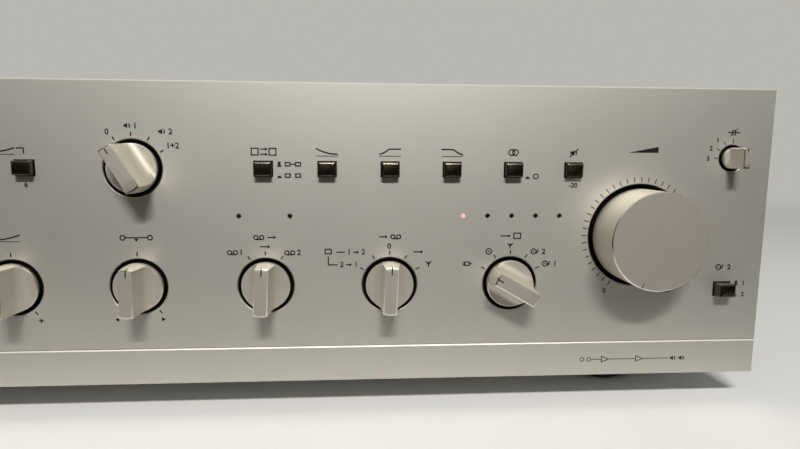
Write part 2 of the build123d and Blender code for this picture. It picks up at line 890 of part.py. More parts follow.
with BuildPart() as selector_switches:
    with BuildSketch(at_depth(plate_back)):
        with Locations(*[places[name] for name in selectors]):
            RectangleRounded(selector_side, selector_side, selector_corner)
    extrude(amount=-selector_depth)
    with BuildSketch(at_depth(plate_back)):
        with Locations(trim_place):
            Rectangle(trim_switch_side, trim_switch_side)
    extrude(amount=-trim_switch_depth)
    add([selector_bores, trim_bore], mode=Mode.SUBTRACT)
save(selector_switches, "selector_switches")

# ---------------------------------------------------------------- push buttons


def push_button(place, wide, tall, front, latched_in):
    """A moulded cap with a sloped edge round its face, and the stem that works its switch."""
    skirt = cap_skirt + latched_in
    with BuildPart() as button:
        with BuildSketch(at_depth(skirt)):
            with Locations(place):
                Rectangle(wide, tall)
        extrude(amount=cap_skirt + front - button_slope)
        with BuildSketch(at_depth(latched_in - front + button_slope)):
            with Locations(place):
                Rectangle(wide, tall)
        with BuildSketch(at_depth(latched_in - front)):
            with Locations(place):
                Rectangle(wide - 2 * button_face_inset, tall - 2 * button_face_inset)
        loft()
        with BuildSketch(at_depth(skirt)):
            with Locations(place):
                Rectangle(stem_side, stem_side)
        extrude(amount=-(plate_back + stem_in_switch - cap_skirt))
    return button


for name, x, z, front, latched_in in small_buttons:
    save(push_button((x, z), button_width, button_tall, front, latched_in), f"{name}_button")
save(push_button(power_place, power_width, power_tall, power_height, 0.0), "power_button")

with BuildPart() as button_frames:
    with BuildSketch(at_depth(panel_thickness)):
        with Locations(*button_places):
            Rectangle(frame_width, frame_tall)
            Rectangle(button_width + 2 * button_gap, button_tall + 2 * button_gap, mode=Mode.SUBTRACT)
        with Locations(power_place):
            Rectangle(power_frame_width, power_frame_tall)
            Rectangle(power_width + 2 * button_gap, power_tall + 2 * button_gap, mode=Mode.SUBTRACT)
    extrude(amount=panel_thickness)
save(button_frames, "button_frames")

with BuildPart() as button_switches:
    with BuildSketch(at_depth(plate_back)):
        with Locations(*button_places):
            Rectangle(switch_width, switch_tall)
        with Locations(power_place):
            Rectangle(power_switch_width, power_switch_tall)
    extrude(amount=-switch_depth)
    with BuildSketch(at_depth(plate_back)):
        with Locations(*button_places, power_place):
            Rectangle(stem_side + 2 * stem_gap, stem_side + 2 * stem_gap)
    extrude(amount=-(stem_in_switch + button_travel + shaft_end_room), mode=Mode.SUBTRACT)
save(button_switches, "button_switches")

# ---------------------------------------------------------------- lamps and headphone socket


def lamp(place):
    """An indicator lamp: its lens in the panel's hole and its flange behind the front plate."""
    with BuildPart() as lens:
        with BuildSketch(at_depth(plate_back)):
            with Locations(place):
                Circle(led_radius)
        extrude(amount=plate_back - led_setback)
        fillet(lens.faces().sort_by(Axis.Y)[0].edges(), led_dome)
        with BuildSketch(at_depth(plate_back)):
            with Locations(place):
                Circle(led_flange_radius)
        extrude(amount=-led_flange)
    return lens.part


lenses = [lamp(place) for place in dark_leds]
with BuildPart() as dark_lamps:
    add(lenses)
save(dark_lamps, "dark_lamps")

lit_lens = lamp(lit_led_place)
with BuildPart() as lit_lamp:
    add(lit_lens)
save(lit_lamp, "lit_lamp")

with BuildPart() as headphone_socket:
    with BuildSketch(at_depth(plate_back)):
        with Locations(jack_place):
            Circle(jack_barrel_radius)
    extrude(amount=plate_back + jack_nut_height)
    with BuildSketch(at_depth(plate_back)):
        with Locations(jack_place):
            Rectangle(jack_body_side, jack_body_side)
    extrude(amount=-jack_body_depth)
    with BuildSketch(at_depth(-jack_nut_height)):
        with Locations(jack_place):
            Circle(jack_bore_radius)
    extrude(amount=-jack_bore_length, mode=Mode.SUBTRACT)
save(headphone_socket, "headphone_socket")

# ---------------------------------------------------------------- mains transformer
core_base = pan_top + clamp_thickness
transformer_depth = case_end - transformer_rear_gap
core_centre = (transformer_x, core_base + core_height / 2)
window_width = (core_width - 2 * core_yoke) / 2 - core_limb / 2
window_height = core_height - 2 * core_yoke
core_back = transformer_depth + core_stack / 2
window_offset = core_limb / 2 + window_width / 2
window_places = [(transformer_x + side * window_offset, core_centre[1]) for side in (-1, 1)]

with BuildPart() as transformer_core:
    with BuildSketch(at_depth(core_back)):
        with Locations(core_centre):
            Rectangle(core_width, core_height)
        with Locations(*window_places):
            Rectangle(window_width, window_height, mode=Mode.SUBTRACT)
    extrude(amount=core_stack)
    with BuildSketch(at_depth(core_back)):
        with Locations((transformer_x, pan_top + clamp_thickness / 2)):
            Rectangle(core_width + 2 * clamp_foot, clamp_thickness)
    extrude(amount=core_stack)
save(transformer_core, "transformer_core")

coil_width = core_limb + 2 * (window_width - winding_clearance)
coil_stack = core_stack + 2 * winding_overhang
coil_bottom = core_base + core_yoke
with BuildPart() as transformer_winding:
    with BuildSketch(level(coil_bottom)):
        with Locations((transformer_x, panel_face_y + transformer_depth)):
            RectangleRounded(coil_width, coil_stack, winding_round)
            core_hole = (core_limb + 2 * hole_fit, core_stack + 2 * hole_fit)
            Rectangle(*core_hole, mode=Mode.SUBTRACT)
    extrude(amount=window_height - winding_clearance)
save(transformer_winding, "transformer_winding")

# ---------------------------------------------------------------- main board, capacitors, heat sink
board_bottom = pan_top + board_standoff
board_top = board_bottom + board_thickness
board_width = board_right_x - board_left_x
board_length = board_rear_depth - board_front_depth
board_centre = (board_left_x + board_width / 2, panel_face_y + board_front_depth + board_length / 2)

with BuildPart() as main_board:
    with BuildSketch(level(board_bottom)):
        with Locations(board_centre):
            Rectangle(board_width, board_length)
        with Locations(*board_posts):
            Circle(screw_radius + hole_fit, mode=Mode.SUBTRACT)
    extrude(amount=board_thickness)
save(main_board, "main_board")

capacitor_x = board_left_x + capacitor_left_gap
capacitor_y = panel_face_y + board_rear_depth - capacitor_rear_gap
with BuildPart() as filter_capacitors:
    with BuildSketch(level(board_top)):
        with Locations((capacitor_x, capacitor_y)):
            with Locations((0, 0), (capacitor_pitch, 0)):
                Circle(capacitor_radius)
    extrude(amount=capacitor_height)
    fillet(filter_capacitors.faces().filter_by(Axis.Z).group_by(Axis.Z)[-1].edges(), capacitor_round)
save(filter_capacitors, "filter_capacitors")

sink_x = inner_half_width - sink_right_gap - sink_length / 2
sink_depth = case_end - sink_rear_gap
fin_pitch = (sink_length - fin_thickness) / (fin_count - 1)
with BuildPart() as heat_sink:
    with BuildSketch(level(pan_top)):
        with Locations((sink_x, panel_face_y + sink_depth + sink_base / 2)):
            Rectangle(sink_length, sink_base)
        with Locations((sink_x, panel_face_y + sink_depth + sink_base + fin_reach / 2)):
            with GridLocations(fin_pitch, 1, fin_count, 1):
                Rectangle(fin_thickness, fin_reach)
    extrude(amount=sink_height)
save(heat_sink, "heat_sink")

with BuildPart() as output_transistors:
    with BuildSketch(at_depth(sink_depth)):
        with Locations((sink_x, pan_top + transistor_rise)):
            with GridLocations(transistor_pitch, 1, transistor_count, 1):
                Rectangle(transistor_width, transistor_tall)
    extrude(amount=transistor_thickness)
save(output_transistors, "output_transistors")

# ---------------------------------------------------------------- rear panel fittings
with BuildPart() as jack_plate:
    with BuildSketch(facing_back(case_end)):
        with Locations(*seen_from_behind([jack_plate_place])):
            Rectangle(jack_plate_width, jack_plate_tall)
        with Locations(*seen_from_behind(phono_places)):
            Circle(phono_lead_radius + hole_fit, mode=Mode.SUBTRACT)
        with Locations(*seen_from_behind(jack_plate_screws)):
            Circle(screw_radius + hole_fit, mode=Mode.SUBTRACT)
    extrude(amount=jack_plate_thickness)
save(jack_plate, "jack_plate")

phono_seat = case_end + jack_plate_thickness
with BuildPart() as phono_jacks:
    with BuildSketch(facing_back(phono_seat)):
        with Locations(*seen_from_behind(phono_places)):
            Circle(phono_flange_radius)
    extrude(amount=phono_flange)
    with BuildSketch(facing_back(phono_seat + phono_flange)):
        with Locations(*seen_from_behind(phono_places)):
            Circle(phono_barrel_radius)
    extrude(amount=phono_barrel_length)
    with BuildSketch(facing_back(phono_seat + phono_flange + phono_barrel_length)):
        with Locations(*seen_from_behind(phono_places)):
            Circle(phono_hole_radius)
    extrude(amount=-phono_hole_depth, mode=Mode.SUBTRACT)
    with BuildSketch(facing_back(phono_seat)):
        with Locations(*seen_from_behind(phono_places)):
            Circle(phono_lead_radius)
    extrude(amount=-(jack_plate_thickness + sheet + phono_lead_length))
save(phono_jacks, "phono_jacks")

terminal_pitch = terminal_width / (terminal_ways / 2)
with BuildPart() as speaker_terminals:
    with BuildSketch(facing_back(case_end)):
        with Locations(*seen_from_behind([terminal_place])):
            Rectangle(terminal_width + 2 * terminal_ear, terminal_tall)
        with Locations(*seen_from_behind(terminal_screws)):
            Circle(screw_radius + hole_fit, mode=Mode.SUBTRACT)
    extrude(amount=terminal_ear_thickness)
    with BuildSketch(facing_back(case_end)):
        with Locations(*seen_from_behind([terminal_place])):
            Rectangle(terminal_width, terminal_tall)
    extrude(amount=terminal_depth)
    with BuildSketch(facing_back(case_end + terminal_depth)):
        with Locations(*seen_from_behind([terminal_place])):
            with GridLocations(terminal_pitch, terminal_row_pitch, terminal_ways // 2, 2):
                Circle(terminal_mouth / 2)
    extrude(amount=-terminal_mouth_depth, mode=Mode.SUBTRACT)
save(speaker_terminals, "speaker_terminals")

with BuildPart() as ground_post:
    with BuildSketch(facing_back(case_end)):
        with Locations(*seen_from_behind([ground_place])):
            Circle(ground_post_radius)
    extrude(amount=ground_post_length)
    chamfer(ground_post.faces().sort_by(Axis.Y)[-1].edges(), ground_post_bevel)
    with BuildSketch(facing_back(case_end)):
        with Locations(*seen_from_behind([ground_place])):
            Circle(ground_stud_radius)
    extrude(amount=-(sheet + screw_length))
save(ground_post, "ground_post")

socket_width = inlet_width - 2 * inlet_wall
socket_tall = inlet_tall - 2 * inlet_wall
pin_places = [(-inlet_pin_spread, 0), (inlet_pin_spread, 0), (0, inlet_earth_rise)]
with BuildPart() as mains_inlet:
    with BuildSketch(facing_back(case_end)):
        with Locations(*seen_from_behind([inlet_place])):
            RectangleRounded(inlet_rim_width, inlet_rim_tall, inlet_wall)
        with Locations(*seen_from_behind(inlet_screws)):
            Circle(screw_radius + hole_fit, mode=Mode.SUBTRACT)
    extrude(amount=inlet_rim_thickness)
    with BuildSketch(facing_back(case_end)):
        with Locations(*seen_from_behind([inlet_place])):
            Rectangle(inlet_width, inlet_tall)
    extrude(amount=-inlet_body_depth)
    with BuildSketch(facing_back(case_end + inlet_rim_thickness)):
        with Locations(*seen_from_behind([inlet_place])):
            Rectangle(socket_width, socket_tall)
    extrude(amount=-(inlet_rim_thickness + inlet_socket_depth), mode=Mode.SUBTRACT)
    with BuildSketch(facing_back(case_end - inlet_socket_depth)):
        with Locations(*seen_from_behind([inlet_place])):
            with Locations(*pin_places):
                Rectangle(inlet_pin_width, inlet_pin_tall)
    extrude(amount=inlet_pin_length)
save(mains_inlet, "mains_inlet")

# ---------------------------------------------------------------- case screws


def screw(seat):
    """A cross-head screw whose head stands on a plane and whose shank goes back through it."""
    with BuildPart() as one:
        with BuildSketch(seat):
            Circle(screw_head_radius)
        extrude(amount=screw_head_height)
        fillet(one.faces().sort_by(Axis(seat.origin, seat.z_dir))[-1].edges(), screw_head_round)
        with BuildSketch(seat.offset(screw_head_height)):
            Rectangle(screw_slot_width, screw_slot_length)
            Rectangle(screw_slot_length, screw_slot_width)
        extrude(amount=-screw_slot_depth, mode=Mode.SUBTRACT)
        with BuildSketch(seat):
            Circle(screw_radius)
        extrude(amount=-screw_length)
    return one.part


side_seats = [
    Plane(origin=(side * case_half_width, y, z), x_dir=(0, 1, 0), z_dir=(side, 0, 0))
    for side in (-1, 1)
    for y, z in side_screw_places
]
board_seats = [Plane(origin=(x, y, board_top), x_dir=(1, 0, 0), z_dir=(0, 0, 1)) for x, y in board_posts]


def rear_seat(place, thickness):
    """Plane on the outside of a rear fitting so thick, for the head of its screw."""
    x, z = place
    return Plane(origin=(x, panel_face_y + case_end + thickness, z), x_dir=(1, 0, 0), z_dir=(0, 1, 0))


rear_seats = [rear_seat(place, jack_plate_thickness) for place in jack_plate_screws]
rear_seats += [rear_seat(place, inlet_rim_thickness) for place in inlet_screws]
rear_seats += [rear_seat(place, terminal_ear_thickness) for place in terminal_screws]

screws = [screw(seat) for seat in side_seats + board_seats + rear_seats]
with BuildPart() as case_screws:
    add(screws)
save(case_screws, "case_screws")
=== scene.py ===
"""Looks of an integrated stereo amplifier, built round its packed construction model.

The frame is in metres: +Z is up, the front panel looks along -Y and +X is to its right.
Shapes are written in millimetres and turned into metres when a mesh is made.
Each sub-assembly is a class with its own sizes, and takes its place from the frame's boxes.
"""

import json
import logging
from dataclasses import dataclass
from enum import Enum
from math import acos, atan2, cos, pi, radians, sin, sqrt, tan
from typing import Callable, Iterable, Sequence

import bmesh
import bpy
from mathutils import Matrix, Vector

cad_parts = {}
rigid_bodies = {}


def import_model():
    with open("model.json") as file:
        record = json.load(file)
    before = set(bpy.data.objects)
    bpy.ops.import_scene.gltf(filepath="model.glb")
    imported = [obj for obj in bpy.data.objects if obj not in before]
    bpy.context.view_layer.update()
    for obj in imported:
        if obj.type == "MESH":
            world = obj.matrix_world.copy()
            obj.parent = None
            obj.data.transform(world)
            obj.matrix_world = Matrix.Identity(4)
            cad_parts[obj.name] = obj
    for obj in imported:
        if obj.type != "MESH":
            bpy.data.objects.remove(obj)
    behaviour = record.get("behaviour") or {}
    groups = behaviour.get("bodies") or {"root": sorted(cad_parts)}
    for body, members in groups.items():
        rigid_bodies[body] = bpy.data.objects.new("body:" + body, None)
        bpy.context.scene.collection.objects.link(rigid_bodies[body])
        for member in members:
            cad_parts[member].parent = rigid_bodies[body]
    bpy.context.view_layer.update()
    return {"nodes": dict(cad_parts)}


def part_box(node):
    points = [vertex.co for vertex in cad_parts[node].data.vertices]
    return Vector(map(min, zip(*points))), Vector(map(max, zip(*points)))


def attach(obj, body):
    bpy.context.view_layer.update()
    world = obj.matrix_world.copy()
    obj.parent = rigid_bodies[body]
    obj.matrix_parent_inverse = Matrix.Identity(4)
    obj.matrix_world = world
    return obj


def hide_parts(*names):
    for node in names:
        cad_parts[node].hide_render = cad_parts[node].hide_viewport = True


MM = 0.001
CHASSIS = "chassis"
SHARP_ANGLE = radians(28)

Point = tuple[float, float, float]
Loop = list[Point]
Colour = tuple[float, float, float]
Socket = bpy.types.NodeSocket

AIM_BACK: Point = (-pi / 2, 0.0, 0.0)
DUST: Colour = (0.42, 0.40, 0.37)

log = logging.getLogger("amplifier")


# ---- places


@dataclass(frozen=True)
class Span:
    """Box of a construction node at rest, in millimetres."""

    low: Vector
    high: Vector

    @staticmethod
    def of(node: str) -> "Span":
        """Box of the node with that name."""
        low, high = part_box(node)
        return Span(low / MM, high / MM)

    @staticmethod
    def round(points: Sequence[Vector]) -> "Span":
        """Smallest box round some points."""
        low, high = ([pick(p[axis] for p in points) for axis in range(3)] for pick in (min, max))
        return Span(Vector(low), Vector(high))

    def near(self, other: "Span", gap: float) -> bool:
        """Whether another box touches this one or lies within a gap of it."""
        return all(
            self.low[a] <= other.high[a] + gap and self.high[a] >= other.low[a] - gap
            for a in range(3)
        )

    @property
    def centre(self) -> Vector:
        """Middle of the box."""
        return (self.low + self.high) / 2

    @property
    def size(self) -> Vector:
        """Length of the box along each axis."""
        return self.high - self.low


@dataclass(frozen=True)
class Seat:
    """A local frame on the object: u to the right, v upwards and h outwards, in millimetres."""

    origin: Vector
    right: Vector
    up: Vector
    out: Vector

    @staticmethod
    def front(x: float, face_y: float, z: float, turn: float = 0.0) -> "Seat":
        """Seat on the front panel, turned clockwise by so many degrees as seen from the front."""
        c, s = cos(radians(turn)), sin(radians(turn))
        return Seat(Vector((x, face_y, z)), Vector((c, 0, -s)), Vector((s, 0, c)), Vector((0, -1, 0)))

    @staticmethod
    def rear(x: float, face_y: float, z: float) -> "Seat":
        """Seat on the rear panel, as seen from behind."""
        return Seat(Vector((x, face_y, z)), Vector((-1, 0, 0)), Vector((0, 0, 1)), Vector((0, 1, 0)))

    @staticmethod
    def level(x: float, y: float, z: float) -> "Seat":
        """Seat on a horizontal plane, looking up."""
        return Seat(Vector((x, y, z)), Vector((1, 0, 0)), Vector((0, 1, 0)), Vector((0, 0, 1)))

    def at(self, point: Point) -> Vector:
        """Place of a local point in the frame.

        Args:
            point: Local u, v and h.

        Returns:
            The point in the frame, in metres.
        """
        u, v, h = point
        return (self.origin + u * self.right + v * self.up + h * self.out) * MM


# ---- shader groups and finishes


class Wiring:
    """A node tree under construction."""

    def __init__(self, tree: bpy.types.NodeTree) -> None:
        """Work on that tree."""
        self.tree = tree

    def feed(self, socket: Socket, value: object) -> None:
        """Join an output to a socket, or set the socket's constant."""
        if isinstance(value, Socket):
            self.tree.links.new(value, socket)
        else:
            socket.default_value = value

    def node(self, kind: str, **given: object) -> bpy.types.Node:
        """Add a node.

        Args:
            kind: Its type.
            given: Its properties by name, and its inputs by name with a capital letter.

        Returns:
            The node.
        """
        node = self.tree.nodes.new(kind)
        for name, value in given.items():
            if name[0].islower():
                setattr(node, name, value)
        for name, value in given.items():
            if name[0].isupper():
                self.feed(node.inputs[name.replace("_", " ")], value)
        return node

    def math(self, operation: str, *values: object, clamp: bool = False) -> Socket:
        """One sum of sockets or numbers."""
        node = self.node("ShaderNodeMath", operation=operation, use_clamp=clamp)
        for socket, value in zip(node.inputs, values):
            self.feed(socket, value)
        return node.outputs[0]

    def vector(self, operation: str, *values: Socket) -> bpy.types.Node:
        """One sum of vectors."""
        node = self.node("ShaderNodeVectorMath", operation=operation)
        for socket, value in zip(node.inputs, values):
            self.feed(socket, value)
        return node

    def mix(self, factor: Socket, *ends: Colour | Socket) -> Socket:
        """Colour that goes from the first end to the second with a factor."""
        first, second = ((*end, 1) if isinstance(end, tuple) else end for end in ends)
        node = self.node("ShaderNodeMix", data_type="RGBA", Factor=factor, A=first, B=second)
        return node.outputs["Result"]

    def ramp(self, value: Socket, start: float, end: float, kind: str = "LINEAR") -> Socket:
        """Number between 0 and 1 while a value goes from start to end."""
        settings = {"interpolation_type": kind, "Value": value, "From_Min": start, "From_Max": end}
        return self.node("ShaderNodeMapRange", **settings).outputs["Result"]

    def place(self) -> Socket:
        """Where a point lies on the object."""
        return self.node("ShaderNodeTexCoord").outputs["Object"]


class Look(Wiring):
    """A node material under construction, with its one Principled shader."""

    def __init__(self, name: str) -> None:
        """Start a material with that name."""
        self.material = bpy.data.materials.new(name)
        self.material.use_nodes = True
        super().__init__(self.material.node_tree)
        self.shader = self.tree.nodes["Principled BSDF"]

    def set(self, **values: object) -> None:
        """Feed the shader's inputs, with their spaces written as underscores."""
        for name, value in values.items():
            self.feed(self.shader.inputs[name.replace("_", " ")], value)

    def effect(self, group: bpy.types.NodeTree, **values: float) -> bpy.types.NodeOutputs:
        """Place a shared effect with its own values, and give its outputs."""
        return self.node("ShaderNodeGroup", node_tree=group, **values).outputs

    def drifting(self, mask: Socket, colour: Colour, drift: float) -> Socket:
        """A colour that drifts a share to both sides of itself with a mask."""
        return self.mix(mask, *(tuple(min(1.0, c * (1 + side * drift)) for c in colour) for side in (-1, 1)))

    def gloss(self, mask: Socket, middle: float, drift: float) -> None:
        """Roughness that drifts to both sides of a middle with a mask."""
        drifted = self.node("ShaderNodeMapRange", Value=mask, To_Min=middle - drift, To_Max=middle + drift)
        self.set(Roughness=drifted.outputs["Result"])

    def bump(self, height: Socket, depth: float) -> None:
        """Feed a height to the shader's normal, with its depth in millimetres."""
        bump = self.node("ShaderNodeBump", Strength=1.0, Distance=depth * MM, Height=height)
        self.set(Normal=bump.outputs["Normal"])


class Group(Wiring):
    """A shader node group under construction, with number inputs and outputs."""

    def __init__(self, name: str, inputs: dict[str, float], outputs: Iterable[str]) -> None:
        """Make an empty group.

        Args:
            name: Its name.
            inputs: Its inputs with their defaults.
            outputs: Its outputs.
        """
        super().__init__(bpy.data.node_groups.new(name, "ShaderNodeTree"))
        for label, default in inputs.items():
            socket = self.tree.interface.new_socket(label, in_out="INPUT", socket_type="NodeSocketFloat")
            socket.default_value = default
        for label in outputs:
            self.tree.interface.new_socket(label, in_out="OUTPUT", socket_type="NodeSocketFloat")
        self.given = self.tree.nodes.new("NodeGroupInput").outputs
        self.leave = self.tree.nodes.new("NodeGroupOutput").inputs

    def noise(self, size: str, detail: float, **given: object) -> Socket:
        """Noise with patches as large as the input of that name, in millimetres."""
        scale = self.math("DIVIDE", 1 / MM, self.given[size])
        return self.node("ShaderNodeTexNoise", Scale=scale, Detail=detail, **given).outputs["Fac"]

    def end(self, **results: Socket) -> bpy.types.NodeTree:
        """Join the results to the outputs of those names."""
        for name, result in results.items():
            self.feed(self.leave[name], result)
        return self.tree


class Effects:
    """Shader node groups that several finishes share. Each puts out values only."""

    def __init__(self) -> None:
        """Build every group once."""
        self.grain = self._grain()
        self.cloud = self._cloud()
        self.dust = self._dust()
        self.rings = self._rings()

    @staticmethod
    def _grain() -> bpy.types.NodeTree:
        """Fine grain, drawn out along X by its stretch."""
        group = Group("fine_grain", {"Size": 0.3, "Stretch": 1.0}, ("Height", "Mask"))
        across = group.math("DIVIDE", 1.0, group.given["Stretch"])
        squeeze = group.node("ShaderNodeCombineXYZ", X=across, Y=1.0, Z=1.0)
        shaped = group.vector("MULTIPLY", group.place(), squeeze.outputs[0])
        noise = group.noise("Size", 3.0, Vector=shaped.outputs[0])
        return group.end(Height=noise, Mask=group.ramp(noise, 0.35, 0.65))

    @staticmethod
    def _cloud() -> bpy.types.NodeTree:
        """Soft uneven patches, for colour and gloss that drift over a surface."""
        group = Group("soft_cloud", {"Size": 20.0, "Contrast": 1.0}, ("Value",))
        centred = group.math("SUBTRACT", group.noise("Size", 4.0, Vector=group.place()), 0.5)
        return group.end(Value=group.math("MULTIPLY_ADD", centred, group.given["Contrast"], 0.5, clamp=True))

    @staticmethod
    def _dust() -> bpy.types.NodeTree:
        """Thin uneven dust that lies on faces that look up."""
        group = Group("settled_dust", {"Amount": 0.3, "Size": 6.0}, ("Mask",))
        normal = group.node("ShaderNodeNewGeometry").outputs["Normal"]
        facing = group.ramp(group.node("ShaderNodeSeparateXYZ", Vector=normal).outputs["Z"], 0.6, 1.0)
        patches = group.ramp(group.noise("Size", 6.0, Vector=group.place()), 0.4, 0.75)
        both = group.math("MULTIPLY", facing, patches)
        return group.end(Mask=group.math("MULTIPLY", both, group.given["Amount"]))

    @staticmethod
    def _rings() -> bpy.types.NodeTree:
        """Fine rings left by a lathe, round an axis along Y through a centre."""
        group = Group("lathe_rings", {"Centre X": 0.0, "Centre Z": 0.0, "Pitch": 0.25}, ("Height",))
        parts = group.node("ShaderNodeSeparateXYZ", Vector=group.place()).outputs
        away_x = group.math("SUBTRACT", parts["X"], group.given["Centre X"])
        away_z = group.math("SUBTRACT", parts["Z"], group.given["Centre Z"])
        flat = group.node("ShaderNodeCombineXYZ", X=away_x, Z=away_z)
        radius = group.vector("LENGTH", flat.outputs[0]).outputs["Value"]
        depth = group.math("ADD", radius, parts["Y"])
        return group.end(Height=group.noise("Pitch", 2.0, noise_dimensions="1D", W=depth))


@dataclass(frozen=True)
class Metal:
    """A metal finish: anodised, plated, turned or ground."""

    name: str
    colour: Colour
    roughness: float
    grain: float = 0.25
    stretch: float = 1.0
    depth: float = 0.004
    drift: float = 0.04
    patch: float = 18.0
    gloss_drift: float = 0.05
    metallic: float = 1.0

    def make(self, effects: Effects, rings: tuple[float, float] | None = None) -> bpy.types.Material:
        """Build the material.

        Args:
            effects: The shared groups.
            rings: Centre in metres of lathe marks, for a turned piece.

        Returns:
            The material.
        """
        look = Look(self.name)
        look.set(Metallic=self.metallic)
        cloud = look.effect(effects.cloud, Size=self.patch, Contrast=1.6)["Value"]
        grain = look.effect(effects.grain, Size=self.grain, Stretch=self.stretch)
        look.set(Base_Color=look.drifting(cloud, self.colour, self.drift))
        look.gloss(grain["Mask"], self.roughness, self.gloss_drift)
        height = grain["Height"]
        if rings is not None:
            height = look.effect(effects.rings, Centre_X=rings[0], Centre_Z=rings[1], Pitch=0.22)["Height"]
        look.bump(height, self.depth)
        return look.material


@dataclass(frozen=True)
class Plastic:
    """A moulded, painted, rubber or printed finish."""

    name: str
    colour: Colour
    roughness: float
    grain: float = 0.4
    depth: float = 0.01
    drift: float = 0.08
    coat: float = 0.0
    specular: float = 0.5
    dust: float = 0.0

    def make(self, effects: Effects) -> bpy.types.Material:
        """Build the material from the shared groups."""
        look = Look(self.name)
        look.set(Specular_IOR_Level=self.specular, Coat_Weight=self.coat, Coat_Roughness=0.08)
        cloud = look.effect(effects.cloud, Size=14.0, Contrast=1.5)["Value"]
        grain = look.effect(effects.grain, Size=self.grain)
        colour = look.drifting(cloud, self.colour, self.drift)
        if self.dust:
            settled = look.effect(effects.dust, Amount=self.dust)["Mask"]
            colour = look.mix(settled, colour, DUST)
        look.set(Base_Color=colour)
        look.gloss(grain["Mask"], self.roughness, 0.05)
        look.bump(grain["Height"], self.depth)
        return look.material


@dataclass(frozen=True)
class Glow:
    """The lens of a lamp, lit or dark."""

    name: str
    colour: Colour
    light: Colour
    strength: float

    def make(self, effects: Effects) -> bpy.types.Material:
        """Build the material, brighter in patches where the lamp stands behind its lens."""
        look = Look(self.name)
        look.set(Roughness=0.35, Specular_IOR_Level=0.3, Emission_Strength=self.strength)
        cloud = look.effect(effects.cloud, Size=0.8, Contrast=1.0)["Value"]
        dim_light, dim_colour = (tuple(0.8 * c for c in full) for full in (self.light, self.colour))
        look.set(Emission_Color=look.mix(cloud, dim_light, self.light))
        look.set(Base_Color=look.mix(cloud, dim_colour, self.colour))
        return look.material


